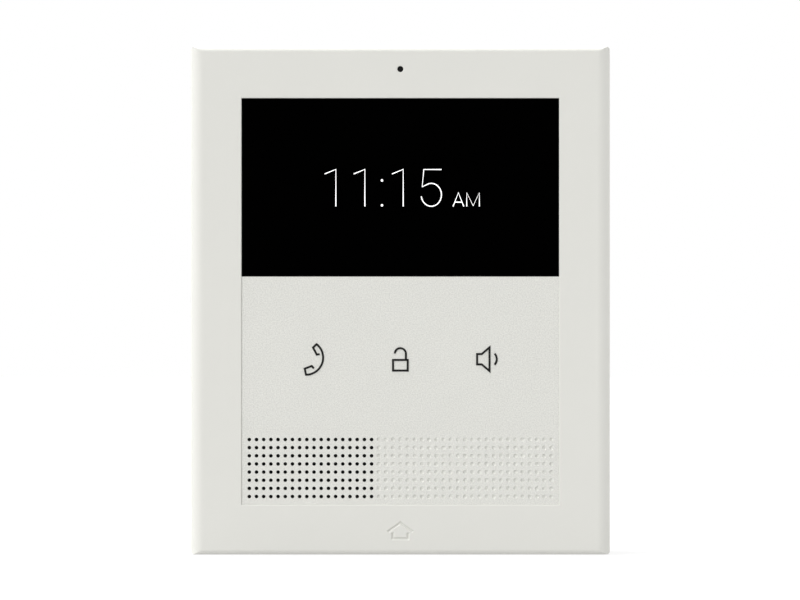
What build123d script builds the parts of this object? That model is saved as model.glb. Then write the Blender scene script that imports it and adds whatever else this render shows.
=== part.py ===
from build123d import *
import os
from math import cos, radians

os.makedirs("parts", exist_ok=True)

# A wall-mounted video intercom monitor. X points right, Z points up and the front faces -Y.
# The origin is on the wall, in the middle of the bracket's screw pattern. Every depth below
# is a distance forward from the wall, in millimetres.

# Case
CASE_WIDTH = 126.0
CASE_HEIGHT = 152.5
CASE_DEPTH = 28.0
CASE_CORNER = 1.0
SIDE_BEND_RADIUS = 5.0
SIDE_BEND_ARC = 42.0
SIDE_EDGE_RADIUS = 0.9
END_BEND_RADIUS = 1.6
END_BEND_ARC = 60.0
END_EDGE_RADIUS = 0.6
SPLIT = 15.5
COVER_WALL = 2.2
FRONT_WALL_BACK = 26.0
REAR_WIDTH = CASE_WIDTH - 1.6
REAR_HEIGHT = CASE_HEIGHT - 1.6
REAR_WALL = 2.0
REAR_RIM = 0.5
RECESS_FLOOR = 2.5
TONGUE_GAP = 0.2
TONGUE_WALL = 1.2
TONGUE_FRONT = 17.5

# Face: one window that holds the display lens above and the key panel below
WINDOW_WIDTH = 95.4
WINDOW_TOP = 60.78
WINDOW_BOTTOM = -61.32
WINDOW_GAP = 0.1
FACE_FRONT = 27.7
FLANGE_BACK = 25.0
OPENING_ROUND = 0.25
JOINT_HEIGHT = 7.22
JOINT_GAP = 0.05
LENS_FLANGE_WIDTH = 101.0
LENS_FLANGE_TOP = 63.7
PANEL_FLANGE_WIDTH = 102.0
PANEL_FLANGE_BOTTOM = -64.5

# Grille: drilled holes over the loudspeaker, blind dimples beside it
GRILLE_ROWS = 8
HOLE_COLUMNS = 18
DIMPLE_COLUMNS = 25
GRILLE_PITCH_X = 2.16
GRILLE_PITCH_Z = 2.445
GRILLE_HEIGHT = -50.3
HOLE_GRID_X = -27.0
DIMPLE_GRID_X = 19.44
HOLE_RADIUS = 0.56
DIMPLE_RADIUS = 0.6
DIMPLE_DEPTH = 0.3
GRILLE_SKIN_BACK = 26.6
GRILLE_POCKET = (39.6, 19.8)

# Key symbols
STROKE = 0.6
ICON_BACK = 27.4
ICON_FRONT = 27.84
KEY_CENTRES = ((-26.2, -17.7), (0.0, -17.7), (26.0, -17.6))
GUIDE_RADIUS = 5.8
GUIDE_FRONT = 26.9
SYMBOL_DEPTH = 0.34
SYMBOL_STROKE = 0.4
SYMBOL_FLANK = 0.27

# Microphone
MIC_PLACE = (0.0, 69.5)
MIC_HOLE_RADIUS = 0.9
MIC_BOOT_RADIUS = 2.7
MIC_BACK = 22.6

# Screw places, as x and z
COVER_SCREW_PLACES = [(x, z) for x in (-55.5, 55.5) for z in (-69.0, 69.0)]
HOLDER_SCREW_PLACES = [(x, z) for x in (-57.0, 57.0) for z in (6.0, 62.0)]
TOUCH_SCREW_PLACES = [(-57.0, -16.0), (57.0, -16.0)]
BOARD_SCREW_PLACES = [(-57.0, 40.0), (57.0, 40.0), (-57.0, -28.0), (57.0, -28.0), (57.0, -56.0)]
RETAINER_SCREW_PLACES = [(-57.0, GRILLE_HEIGHT), (-46.0, -69.5), (-8.0, -69.5)]

# Display
LCD_SIZE = (105.5, 66.0)
LCD_HEIGHT = 31.8
ACTIVE_HEIGHT = 33.955
LCD_BACK = 21.6
LCD_FRONT = 24.5
HOLDER_BACK = 20.4
HOLDER_EAR_FRONT = 22.0
FLEX_DEPTH = 18.6
FLEX_THICKNESS = 0.2

# Touch board
TOUCH_BACK = 22.8
TOUCH_FRONT = 23.8

# Loudspeaker
SPEAKER_X = -27.1
SPEAKER_FRONT = 24.0
SPEAKER_FLANGE_BACK = 22.8
RETAINER_BACK = 21.2
COIL_RADIUS = 6.1

# Circuit board
BOARD_BACK = 16.0
BOARD_FRONT = 17.6
BOARD_HALF_WIDTH = 59.1
BOARD_TOP = 60.0
BOARD_BOTTOM = -34.0
BOARD_LEG_LEFT = -3.0
BOARD_LEG_BOTTOM = -62.0

# Sockets on the back of the board
JACK_X = -14.0
JACK_BOTTOM = 6.5
JACK_SIZE = (16.0, 18.0)
JACK_BACK = 2.6
TERMINAL_XS = (5.0, 19.0)
TERMINAL_PITCH = 3.81
TERMINAL_DEPTH = 10.9
HEADER_BOTTOM = 9.0
CLAMP_SCREW_HEIGHT = -1.0

# Connector bay in the rear cover
BAY_HALF_WIDTH = 28.0
BAY_TOP = 6.0
BAY_BOTTOM = -34.0
BAY_WALL = 1.6
BAY_FLOOR_BACK = 14.2
BAY_FLOOR_FRONT = 15.4
RESET_PLACE = (-44.0, -12.0)

# Wall bracket
BRACKET_THICKNESS = 1.2
BRACKET_WIDTH = 100.0
BRACKET_HEIGHT = 120.0
BRACKET_OPENING = 44.0
WALL_BOX_PITCH = 60.0
WALL_SLOT_LENGTH = 9.0
WALL_SLOT_WIDTH = 4.2
CORNER_HOLE_PITCH = (80.0, 100.0)
CORNER_HOLE_RADIUS = 2.25
HOOK_PLACES = [(x, z) for x in (-40.0, 40.0) for z in (-30.0, 33.0)]
HOOK_WIDTH = 8.0
HOOK_REACH = 6.4
HOOK_NOSE = 4.0
LIFT = 5.0


def facing(depth):
    """The plane parallel to the wall at one depth, seen from the front."""
    return Plane.XZ.offset(depth)


def slab(width, height, back, front, places=((0, 0),), corner=0, mode=Mode.ADD):
    """Flat plates between two depths, one at each place, with rounded corners where asked."""
    with BuildSketch(facing(back)) as outline:
        with Locations(*places):
            if corner:
                RectangleRounded(width, height, corner)
            else:
                Rectangle(width, height)
    extrude(outline.sketch, amount=front - back, mode=mode)


def span(left, right, bottom, top, back, front, corner=0, mode=Mode.ADD):
    """One flat plate between two depths, given by its four edges."""
    centre = ((left + right) / 2, (bottom + top) / 2)
    slab(right - left, top - bottom, back, front, [centre], corner, mode)


def disc(radius, back, front, places=((0, 0),), mode=Mode.ADD):
    """Round posts, discs or holes square to the wall, one at each place."""
    with BuildSketch(facing(back)) as outline:
        with Locations(*places):
            Circle(radius)
    extrude(outline.sketch, amount=front - back, mode=mode)


def racetrack(length, height, back, front, mode=Mode.ADD):
    """A long oval centred on the loudspeaker, between two depths."""
    with BuildSketch(facing(back)) as outline:
        with Locations((SPEAKER_X, GRILLE_HEIGHT)):
            SlotOverall(length, height)
    extrude(outline.sketch, amount=front - back, mode=mode)


def screws(places, head_back, head_radius, head_height, shank_radius, shank_length):
    """Cross-head screws driven towards the front, one at each place."""
    head_front = head_back + head_height
    recess_front = head_back + head_height / 2
    disc(head_radius, head_back, head_front, places)
    disc(shank_radius, head_front, head_front + shank_length, places)
    slab(head_radius, head_radius / 4, head_back, recess_front, places, mode=Mode.SUBTRACT)
    slab(head_radius / 4, head_radius, head_back, recess_front, places, mode=Mode.SUBTRACT)


def ribbon(width, start, bend_height, end_height, left, front_depth, rear_depth):
    """A flat cable that runs down at one depth, turns back on itself and runs up behind."""
    with BuildSketch(Plane.YZ.offset(left)) as strip:
        with BuildLine():
            down = Line((-front_depth, start), (-front_depth, bend_height))
            turn = JernArc(down @ 1, down % 1, (front_depth - rear_depth) / 2, 180)
            Line(turn @ 1, (-rear_depth, end_height))
        trace(line_width=FLEX_THICKNESS)
    extrude(strip.sketch, amount=width)


def lead(points, bend, radius):
    """One insulated wire along a route of straight runs joined by arcs."""
    with BuildLine() as route:
        FilletPolyline(*points, radius=bend)
    with BuildSketch(Plane(origin=route.line @ 0, z_dir=route.line % 0)) as section:
        Circle(radius)
    sweep(section.sketch, path=route.line)


def edge_drop(bend_radius, bend_arc, edge_radius):
    """How far a rolled front edge falls back from the front face."""
    bend = bend_radius * (1 - cos(radians(bend_arc)))
    return bend + edge_radius * cos(radians(bend_arc))


# ---------------------------------------------------------------- key symbols

with BuildSketch(facing(ICON_BACK)) as handset_shape:
    with BuildLine():
        earpiece = Polyline((-24.24, -16.08), (-25.10, -16.23), (-26.22, -14.12), (-25.14, -13.10))
        back_curve = ThreePointArc(earpiece @ 1, (-24.60, -20.66), (-28.33, -22.29))
        Polyline(back_curve @ 1, (-28.72, -20.46), (-26.61, -19.65), (-25.98, -20.40))
    trace(line_width=STROKE)

with BuildSketch(facing(ICON_BACK)) as padlock_shape:
    with Locations((0, -19.43)):
        Rectangle(4.41 + STROKE, 3.19 + STROKE)
        Rectangle(4.41 - STROKE, 3.19 - STROKE, mode=Mode.SUBTRACT)
    with BuildLine():
        shackle_leg = Line((1.65, -17.90), (1.65, -15.95))
        ThreePointArc(shackle_leg @ 1, (0, -14.30), (-1.65, -15.90))
    trace(line_width=STROKE)

with BuildSketch(facing(ICON_BACK)) as loudspeaker_shape:
    with BuildLine():
        horn_back = Line((23.04, -17.6), (23.04, -16.07))
        horn = Polyline(horn_back @ 1, (24.45, -16.07), (26.77, -14.06), (26.77, -21.17), (24.45, -19.17))
        Polyline(horn @ 1, (23.04, -19.17), horn_back @ 0)
    trace(line_width=STROKE)
    with BuildLine():
        ThreePointArc((28.31, -15.95), (28.95, -17.59), (28.31, -19.24))
    trace(line_width=STROKE)

# ---------------------------------------------------------------- case

side_start = CASE_DEPTH - edge_drop(SIDE_BEND_RADIUS, SIDE_BEND_ARC, SIDE_EDGE_RADIUS)
end_start = CASE_DEPTH - edge_drop(END_BEND_RADIUS, END_BEND_ARC, END_EDGE_RADIUS)
cover_inner_width = CASE_WIDTH - 2 * COVER_WALL
cover_inner_height = CASE_HEIGHT - 2 * COVER_WALL
window_height = WINDOW_TOP - WINDOW_BOTTOM
window_middle = (WINDOW_TOP + WINDOW_BOTTOM) / 2

# Front cover: a shell whose side edges roll away in a broad bend and whose top and bottom
# edges roll in a tight one, with the window, the microphone hole and all screw bosses.
with BuildPart() as front_cover:
    with BuildSketch(Plane.XY.offset(-CASE_HEIGHT / 2)):
        with BuildLine():
            flank = Line((-CASE_WIDTH / 2, -SPLIT), (-CASE_WIDTH / 2, -side_start))
            edge = JernArc(flank @ 1, flank % 1, SIDE_EDGE_RADIUS, 90 - SIDE_BEND_ARC)
            bend = JernArc(edge @ 1, edge % 1, SIDE_BEND_RADIUS, SIDE_BEND_ARC)
            Line(bend @ 1, (0, -CASE_DEPTH))
            Line(flank @ 0, (0, -SPLIT))
            mirror(about=Plane.YZ)
        make_face()
    extrude(amount=CASE_HEIGHT)
    with BuildSketch(Plane.YZ.offset(-CASE_WIDTH / 2)):
        with BuildLine():
            flank = Line((-SPLIT, -CASE_HEIGHT / 2), (-end_start, -CASE_HEIGHT / 2))
            edge = JernArc(flank @ 1, flank % 1, END_EDGE_RADIUS, END_BEND_ARC - 90)
            bend = JernArc(edge @ 1, edge % 1, END_BEND_RADIUS, -END_BEND_ARC)
            Line(bend @ 1, (-CASE_DEPTH, 0))
            Line(flank @ 0, (-SPLIT, 0))
            mirror(about=Plane.XZ)
        make_face()
    extrude(amount=CASE_WIDTH, mode=Mode.INTERSECT)
    slab(CASE_WIDTH, CASE_HEIGHT, SPLIT, CASE_DEPTH, corner=CASE_CORNER, mode=Mode.INTERSECT)
    slab(cover_inner_width, cover_inner_height, SPLIT, FRONT_WALL_BACK, corner=1.5, mode=Mode.SUBTRACT)
    slab(WINDOW_WIDTH, window_height, FRONT_WALL_BACK, CASE_DEPTH, [(0, window_middle)], 0.2, Mode.SUBTRACT)
    disc(MIC_HOLE_RADIUS, FRONT_WALL_BACK, CASE_DEPTH, [MIC_PLACE], Mode.SUBTRACT)
    front_openings = front_cover.faces().sort_by(Axis.Y)[0].inner_wires()
    fillet([edge for wire in front_openings for edge in wire.edges()], radius=OPENING_ROUND)
    # small sunken house symbol below the window, its strokes widening towards the front
    with BuildSketch(facing(CASE_DEPTH - SYMBOL_DEPTH)):
        with BuildLine():
            Polyline((-3.6, -69.3), (0, -66.7), (3.6, -69.3))
        trace(line_width=SYMBOL_STROKE)
        with BuildLine():
            Polyline((-2.3, -69.9), (-2.3, -71.5), (2.3, -71.5), (2.3, -69.9))
        trace(line_width=SYMBOL_STROKE)
    extrude(amount=SYMBOL_DEPTH, mode=Mode.SUBTRACT)
    front_openings = front_cover.faces().sort_by(Axis.Y)[0].inner_wires()
    symbol_outlines = [wire for wire in front_openings if wire.center().Z < WINDOW_BOTTOM]
    chamfer([edge for wire in symbol_outlines for edge in wire.edges()], length=SYMBOL_FLANK)
    # microphone ring
    disc(MIC_BOOT_RADIUS + 0.7, MIC_BACK, FRONT_WALL_BACK, [MIC_PLACE])
    disc(MIC_BOOT_RADIUS + 0.05, MIC_BACK, FRONT_WALL_BACK, [MIC_PLACE], Mode.SUBTRACT)
    # bosses for the rear cover, each tied to the side wall by a web
    disc(3.25, SPLIT, FRONT_WALL_BACK, COVER_SCREW_PLACES)
    slab(3.0, 1.2, SPLIT + 2.2, FRONT_WALL_BACK, [(x * 59.6 / 55.5, z) for x, z in COVER_SCREW_PLACES])
    disc(1.55, SPLIT, 23.5, COVER_SCREW_PLACES, Mode.SUBTRACT)
    # bosses for the circuit board
    disc(2.5, BOARD_FRONT, FRONT_WALL_BACK, BOARD_SCREW_PLACES)
    slab(2.4, 1.2, BOARD_FRONT, FRONT_WALL_BACK, [(x * 60.0 / 57.0, z) for x, z in BOARD_SCREW_PLACES])
    disc(1.3, BOARD_FRONT, 23.0, BOARD_SCREW_PLACES, Mode.SUBTRACT)
    # bosses for the display holder, the touch board and the speaker retainer
    disc(2.6, HOLDER_EAR_FRONT, FRONT_WALL_BACK, HOLDER_SCREW_PLACES)
    disc(1.05, HOLDER_EAR_FRONT, 25.6, HOLDER_SCREW_PLACES, Mode.SUBTRACT)
    disc(2.6, TOUCH_FRONT, FRONT_WALL_BACK, TOUCH_SCREW_PLACES)
    disc(1.05, TOUCH_FRONT, 26.2, TOUCH_SCREW_PLACES, Mode.SUBTRACT)
    disc(2.5, SPEAKER_FLANGE_BACK, FRONT_WALL_BACK, RETAINER_SCREW_PLACES)
    disc(1.05, SPEAKER_FLANGE_BACK, 25.6, RETAINER_SCREW_PLACES, Mode.SUBTRACT)
front_cover.part.label = "front_cover"
export_step(front_cover.part, "parts/front_cover.step")

# Rear cover: a shallow tray with a recess for the bracket, a connector bay, hook slots,
# deep counterbored posts for the cover screws, vents and a tongue that enters the front cover.
rear_inner_width = REAR_WIDTH - 2 * REAR_WALL
rear_inner_height = REAR_HEIGHT - 2 * REAR_WALL
recess_top = BRACKET_HEIGHT / 2 + 1.5
recess_bottom = -BRACKET_HEIGHT / 2 - LIFT - 1.5
recess_side = BRACKET_WIDTH / 2 + 1.5
floor_front = RECESS_FLOOR + REAR_WALL
jack_left = JACK_X - JACK_SIZE[0] / 2
jack_right = JACK_X + JACK_SIZE[0] / 2
jack_top = JACK_BOTTOM + JACK_SIZE[1]
with BuildPart() as rear_cover:
    slab(REAR_WIDTH, REAR_HEIGHT, REAR_RIM, SPLIT, corner=1.5)
    fillet(rear_cover.faces().sort_by(Axis.Y)[-1].edges(), radius=0.8)
    slab(rear_inner_width, rear_inner_height, RECESS_FLOOR, SPLIT, corner=1.5, mode=Mode.SUBTRACT)
    # tongue that enters the front cover
    tongue_width = cover_inner_width - 2 * TONGUE_GAP
    tongue_height = cover_inner_height - 2 * TONGUE_GAP
    slab(tongue_width, tongue_height, SPLIT - 2.0, TONGUE_FRONT, corner=1.5)
    slab(tongue_width - 2 * TONGUE_WALL, tongue_height - 2 * TONGUE_WALL, SPLIT - 2.0, TONGUE_FRONT,
         corner=1.0, mode=Mode.SUBTRACT)
    # raised floor over the bracket recess
    span(-recess_side - 2, recess_side + 2, recess_bottom - 2, recess_top + 2, RECESS_FLOOR, floor_front)
    span(-recess_side, recess_side, recess_bottom, recess_top, REAR_RIM, RECESS_FLOOR, 3.0, Mode.SUBTRACT)
    # connector bay
    span(-BAY_HALF_WIDTH - BAY_WALL, BAY_HALF_WIDTH + BAY_WALL, BAY_BOTTOM - BAY_WALL,
         BAY_TOP + BAY_WALL, RECESS_FLOOR, BAY_FLOOR_FRONT)
    span(-BAY_HALF_WIDTH, BAY_HALF_WIDTH, BAY_BOTTOM, BAY_TOP, RECESS_FLOOR, BAY_FLOOR_BACK,
         mode=Mode.SUBTRACT)
    # cut-out for the network jack, and doors through the bay wall for the two plugs
    span(jack_left - 0.3, jack_right + 0.3, BAY_TOP - 0.1, jack_top + 0.3, RECESS_FLOOR, SPLIT,
         mode=Mode.SUBTRACT)
    for terminal_x in TERMINAL_XS:
        span(terminal_x - 5.8, terminal_x + 5.8, BAY_TOP - 0.1, BAY_TOP + BAY_WALL + 0.1,
             floor_front, BAY_FLOOR_BACK, mode=Mode.SUBTRACT)
    # posts for the cover screws
    disc(4.0, RECESS_FLOOR, SPLIT, COVER_SCREW_PLACES)
    disc(3.0, REAR_RIM, 12.5, COVER_SCREW_PLACES, Mode.SUBTRACT)
    disc(1.6, 12.5, SPLIT, COVER_SCREW_PLACES, Mode.SUBTRACT)
    # hook slots, tall enough for the hook noses to pass once the unit is lifted
    for hook_x, hook_z in HOOK_PLACES:
        span(hook_x - HOOK_WIDTH / 2 - 0.75, hook_x + HOOK_WIDTH / 2 + 0.75,
             hook_z - BRACKET_THICKNESS / 2 - LIFT - 0.9, hook_z + BRACKET_THICKNESS / 2 + 0.1,
             RECESS_FLOOR, floor_front, mode=Mode.SUBTRACT)
    # reset hole
    disc(1.2, RECESS_FLOOR, floor_front, [RESET_PLACE], Mode.SUBTRACT)
    # vents through the top and bottom walls
    with BuildSketch(Plane.XY.offset(-REAR_HEIGHT / 2)):
        with Locations((0, -9.0)):
            with GridLocations(5.0, 1, 13, 1):
                SlotOverall(7.0, 1.8, rotation=90)
    extrude(amount=REAR_HEIGHT, mode=Mode.SUBTRACT)
rear_cover.part.label = "rear_cover"
export_step(rear_cover.part, "parts/rear_cover.step")

with BuildPart() as cover_screws:
    screws(COVER_SCREW_PLACES, 10.3, 2.75, 2.2, 1.5, 10.0)
cover_screws.part.label = "cover_screws"
export_step(cover_screws.part, "parts/cover_screws.step")

# Blank rating plate on the recess floor
with BuildPart() as rating_label:
    span(-25.0, 25.0, 29.0, 53.0, RECESS_FLOOR - 0.12, RECESS_FLOOR, 1.5)
rating_label.part.label = "rating_label"
export_step(rating_label.part, "parts/rating_label.step")

# ---------------------------------------------------------------- face

face_width = WINDOW_WIDTH - 2 * WINDOW_GAP
lens_bottom = JOINT_HEIGHT + JOINT_GAP / 2
lens_top = WINDOW_TOP - WINDOW_GAP
panel_top = JOINT_HEIGHT - JOINT_GAP / 2
panel_bottom = WINDOW_BOTTOM + WINDOW_GAP

with BuildPart() as display_lens:
    span(-LENS_FLANGE_WIDTH / 2, LENS_FLANGE_WIDTH / 2, lens_bottom, LENS_FLANGE_TOP,
         FLANGE_BACK, FRONT_WALL_BACK)
    span(-face_width / 2, face_width / 2, lens_bottom, lens_top, FRONT_WALL_BACK, FACE_FRONT)
    chamfer(display_lens.faces().sort_by(Axis.Y)[0].edges(), length=0.12)
display_lens.part.label = "display_lens"
export_step(display_lens.part, "parts/display_lens.step")

# Key panel: one unbroken moulding with the three symbols, drilled grille and dimples
with BuildPart() as key_panel:
    span(-PANEL_FLANGE_WIDTH / 2, PANEL_FLANGE_WIDTH / 2, PANEL_FLANGE_BOTTOM, panel_top,
         FLANGE_BACK, FRONT_WALL_BACK)
    span(-face_width / 2, face_width / 2, panel_bottom, panel_top, FRONT_WALL_BACK, FACE_FRONT)
    slab(*GRILLE_POCKET, FLANGE_BACK, GRILLE_SKIN_BACK, [(HOLE_GRID_X, GRILLE_HEIGHT)], 2.0, Mode.SUBTRACT)
    disc(GUIDE_RADIUS + 0.1, FLANGE_BACK, GUIDE_FRONT, KEY_CENTRES, Mode.SUBTRACT)
    with BuildSketch(facing(GRILLE_SKIN_BACK)):
        with Locations((HOLE_GRID_X, GRILLE_HEIGHT)):
            with GridLocations(GRILLE_PITCH_X, GRILLE_PITCH_Z, HOLE_COLUMNS, GRILLE_ROWS):
                Circle(HOLE_RADIUS)
    extrude(amount=FACE_FRONT - GRILLE_SKIN_BACK, mode=Mode.SUBTRACT)
    with BuildSketch(facing(FACE_FRONT - DIMPLE_DEPTH)):
        with Locations((DIMPLE_GRID_X, GRILLE_HEIGHT)):
            with GridLocations(GRILLE_PITCH_X, GRILLE_PITCH_Z, DIMPLE_COLUMNS, GRILLE_ROWS):
                Circle(DIMPLE_RADIUS)
    extrude(amount=DIMPLE_DEPTH, mode=Mode.SUBTRACT)
    for symbol in (handset_shape, padlock_shape, loudspeaker_shape):
        extrude(symbol.sketch, amount=FACE_FRONT - ICON_BACK, mode=Mode.SUBTRACT)
key_panel.part.label = "key_panel"
export_step(key_panel.part, "parts/key_panel.step")

with BuildPart() as call_icon:
    extrude(handset_shape.sketch, amount=ICON_FRONT - ICON_BACK)
call_icon.part.label = "call_icon"
export_step(call_icon.part, "parts/call_icon.step")

with BuildPart() as lock_icon:
    extrude(padlock_shape.sketch, amount=ICON_FRONT - ICON_BACK)
lock_icon.part.label = "lock_icon"
export_step(lock_icon.part, "parts/lock_icon.step")

with BuildPart() as volume_icon:
    extrude(loudspeaker_shape.sketch, amount=ICON_FRONT - ICON_BACK)
volume_icon.part.label = "volume_icon"
export_step(volume_icon.part, "parts/volume_icon.step")

with BuildPart() as grille_mesh:
    slab(GRILLE_POCKET[0] - 0.2, GRILLE_POCKET[1] - 0.2, GRILLE_SKIN_BACK - 0.2, GRILLE_SKIN_BACK,
         [(HOLE_GRID_X, GRILLE_HEIGHT)], 1.9)
grille_mesh.part.label = "grille_mesh"
export_step(grille_mesh.part, "parts/grille_mesh.step")

# ---------------------------------------------------------------- display

with BuildPart() as lens_gasket:
    slab(100.4, 58.8, LCD_FRONT, FLANGE_BACK, [(0, ACTIVE_HEIGHT)], 1.0)
    slab(96.8, 55.4, LCD_FRONT, FLANGE_BACK, [(0, ACTIVE_HEIGHT)], mode=Mode.SUBTRACT)
lens_gasket.part.label = "lens_gasket"
export_step(lens_gasket.part, "parts/lens_gasket.step")

lcd_middle = [(0, LCD_HEIGHT)]
lcd_bottom = LCD_HEIGHT - LCD_SIZE[1] / 2
glass_size = (LCD_SIZE[0] - 1.0, LCD_SIZE[1] - 1.0)
bezel_skin = 0.3
glass_back = 22.9
with BuildPart() as lcd_bezel:
    slab(*LCD_SIZE, LCD_BACK, LCD_FRONT, lcd_middle, 0.8)
    slab(LCD_SIZE[0] - 2 * bezel_skin, LCD_SIZE[1] - 2 * bezel_skin, LCD_BACK, LCD_FRONT - bezel_skin,
         lcd_middle, 0.5, Mode.SUBTRACT)
    slab(96.4, 55.0, LCD_FRONT - bezel_skin, LCD_FRONT, [(0, ACTIVE_HEIGHT)], mode=Mode.SUBTRACT)
    span(-11.0, 11.0, lcd_bottom - 0.1, lcd_bottom + 0.5, LCD_BACK, 23.2, mode=Mode.SUBTRACT)
lcd_bezel.part.label = "lcd_bezel"
export_step(lcd_bezel.part, "parts/lcd_bezel.step")

flex_front_depth = glass_back - FLEX_THICKNESS / 2
with BuildPart() as lcd_panel:
    slab(*glass_size, glass_back, LCD_FRONT - bezel_skin, lcd_middle)
lcd_panel.part.label = "lcd_panel"
export_step(lcd_panel.part, "parts/lcd_panel.step")

with BuildPart() as backlight_unit:
    slab(*glass_size, LCD_BACK, glass_back, lcd_middle)
    span(-10.8, 10.8, lcd_bottom + 0.4, lcd_bottom + 3.0, glass_back - FLEX_THICKNESS, glass_back,
         mode=Mode.SUBTRACT)
backlight_unit.part.label = "backlight_unit"
export_step(backlight_unit.part, "parts/backlight_unit.step")

with BuildPart() as lcd_flex:
    ribbon(20.0, lcd_bottom + 2.8, -3.6, 5.5, -10.0, flex_front_depth, FLEX_DEPTH)
lcd_flex.part.label = "lcd_flex"
export_step(lcd_flex.part, "parts/lcd_flex.step")

with BuildPart() as display_holder:
    slab(108.4, 68.6, HOLDER_BACK, LCD_FRONT, lcd_middle, 2.0)
    for ear_x, ear_z in HOLDER_SCREW_PLACES:
        slab(6.0, 5.2, HOLDER_BACK, HOLDER_EAR_FRONT, [(ear_x * 55.6 / 57.0, ear_z)])
    disc(2.6, HOLDER_BACK, HOLDER_EAR_FRONT, HOLDER_SCREW_PLACES)
    slab(LCD_SIZE[0] + 0.4, LCD_SIZE[1] + 0.4, LCD_BACK, LCD_FRONT, lcd_middle, 0.8, Mode.SUBTRACT)
    slab(98.0, 56.0, HOLDER_BACK, LCD_BACK, lcd_middle, 3.0, Mode.SUBTRACT)
    disc(1.1, HOLDER_BACK, HOLDER_EAR_FRONT, HOLDER_SCREW_PLACES, Mode.SUBTRACT)
    span(-11.5, 11.5, lcd_bottom - 1.4, lcd_bottom + 0.2, HOLDER_BACK, 23.4, mode=Mode.SUBTRACT)
display_holder.part.label = "display_holder"
export_step(display_holder.part, "parts/display_holder.step")

with BuildPart() as holder_screws:
    screws(HOLDER_SCREW_PLACES, HOLDER_BACK - 1.4, 1.9, 1.4, 1.0, 4.8)
holder_screws.part.label = "holder_screws"
export_step(holder_screws.part, "parts/holder_screws.step")

# ---------------------------------------------------------------- touch keys

with BuildPart() as touch_board:
    span(-46.0, 46.0, -27.5, -8.0, TOUCH_BACK, TOUCH_FRONT, 1.0)
    span(-59.4, 59.4, -19.0, -13.0, TOUCH_BACK, TOUCH_FRONT, 1.0)
    disc(1.1, TOUCH_BACK, TOUCH_FRONT, TOUCH_SCREW_PLACES, Mode.SUBTRACT)
touch_board.part.label = "touch_board"
export_step(touch_board.part, "parts/touch_board.step")

with BuildPart() as touch_board_screws:
    screws(TOUCH_SCREW_PLACES, TOUCH_BACK - 1.4, 1.9, 1.4, 1.0, 3.0)
touch_board_screws.part.label = "touch_board_screws"
export_step(touch_board_screws.part, "parts/touch_board_screws.step")

with BuildPart() as key_light_guides:
    disc(GUIDE_RADIUS, TOUCH_FRONT, GUIDE_FRONT, KEY_CENTRES)
    disc(2.0, TOUCH_FRONT, TOUCH_FRONT + 1.2, KEY_CENTRES, Mode.SUBTRACT)
key_light_guides.part.label = "key_light_guides"
export_step(key_light_guides.part, "parts/key_light_guides.step")

with BuildPart() as key_leds:
    slab(2.0, 1.25, TOUCH_FRONT, TOUCH_FRONT + 0.8, KEY_CENTRES)
key_leds.part.label = "key_leds"
export_step(key_leds.part, "parts/key_leds.step")

with BuildPart() as touch_board_flex:
    ribbon(9.0, -12.0, -24.0, -18.5, 15.5, TOUCH_BACK - FLEX_THICKNESS / 2, FLEX_DEPTH)
touch_board_flex.part.label = "touch_board_flex"
export_step(touch_board_flex.part, "parts/touch_board_flex.step")

# ---------------------------------------------------------------- loudspeaker

speaker_place = [(SPEAKER_X, GRILLE_HEIGHT)]
yoke_back = 16.5
gap_front = 21.0
with BuildPart() as speaker_basket:
    slab(40.0, 20.0, 19.0, SPEAKER_FRONT, speaker_place, 3.5)
    slab(44.0, 24.0, SPEAKER_FLANGE_BACK, SPEAKER_FRONT, speaker_place, 4.0)
    racetrack(36.0, 16.0, 20.0, 22.6, Mode.SUBTRACT)
    racetrack(38.0, 18.0, 22.6, SPEAKER_FRONT, Mode.SUBTRACT)
    disc(7.5, 19.0, 20.0, speaker_place, Mode.SUBTRACT)
speaker_basket.part.label = "speaker_basket"
export_step(speaker_basket.part, "parts/speaker_basket.step")

with BuildPart() as speaker_yoke:
    disc(7.5, yoke_back, gap_front, speaker_place)
    disc(COIL_RADIUS + 0.45, yoke_back + 1.0, gap_front, speaker_place, Mode.SUBTRACT)
speaker_yoke.part.label = "speaker_yoke"
export_step(speaker_yoke.part, "parts/speaker_yoke.step")

with BuildPart() as speaker_magnet:
    disc(COIL_RADIUS - 0.6, yoke_back + 1.0, gap_front - 1.0, speaker_place)
speaker_magnet.part.label = "speaker_magnet"
export_step(speaker_magnet.part, "parts/speaker_magnet.step")

with BuildPart() as speaker_top_plate:
    disc(COIL_RADIUS - 0.45, gap_front - 1.0, gap_front, speaker_place)
speaker_top_plate.part.label = "speaker_top_plate"
export_step(speaker_top_plate.part, "parts/speaker_top_plate.step")

with BuildPart() as voice_coil:
    disc(COIL_RADIUS + 0.15, 18.6, 22.9, speaker_place)
    disc(COIL_RADIUS - 0.15, 18.6, 22.9, speaker_place, Mode.SUBTRACT)
voice_coil.part.label = "voice_coil"
export_step(voice_coil.part, "parts/voice_coil.step")

# Diaphragm with a shallow dome over the voice coil
with BuildPart() as speaker_cone:
    racetrack(32.0, 12.0, 22.9, 23.15)
    with BuildSketch(Plane(origin=(SPEAKER_X, -23.15, GRILLE_HEIGHT), x_dir=(1, 0, 0), z_dir=(0, 0, 1))):
        with BuildLine():
            dome_arc = ThreePointArc((-5.2, 0), (0, -1.1), (5.2, 0))
            Line(dome_arc @ 1, dome_arc @ 0)
        make_face()
        with Locations((-10, 0)):
            Rectangle(20, 20, mode=Mode.SUBTRACT)
    revolve(axis=Axis((SPEAKER_X, 0, GRILLE_HEIGHT), (0, 1, 0)))
speaker_cone.part.label = "speaker_cone"
export_step(speaker_cone.part, "parts/speaker_cone.step")

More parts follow.
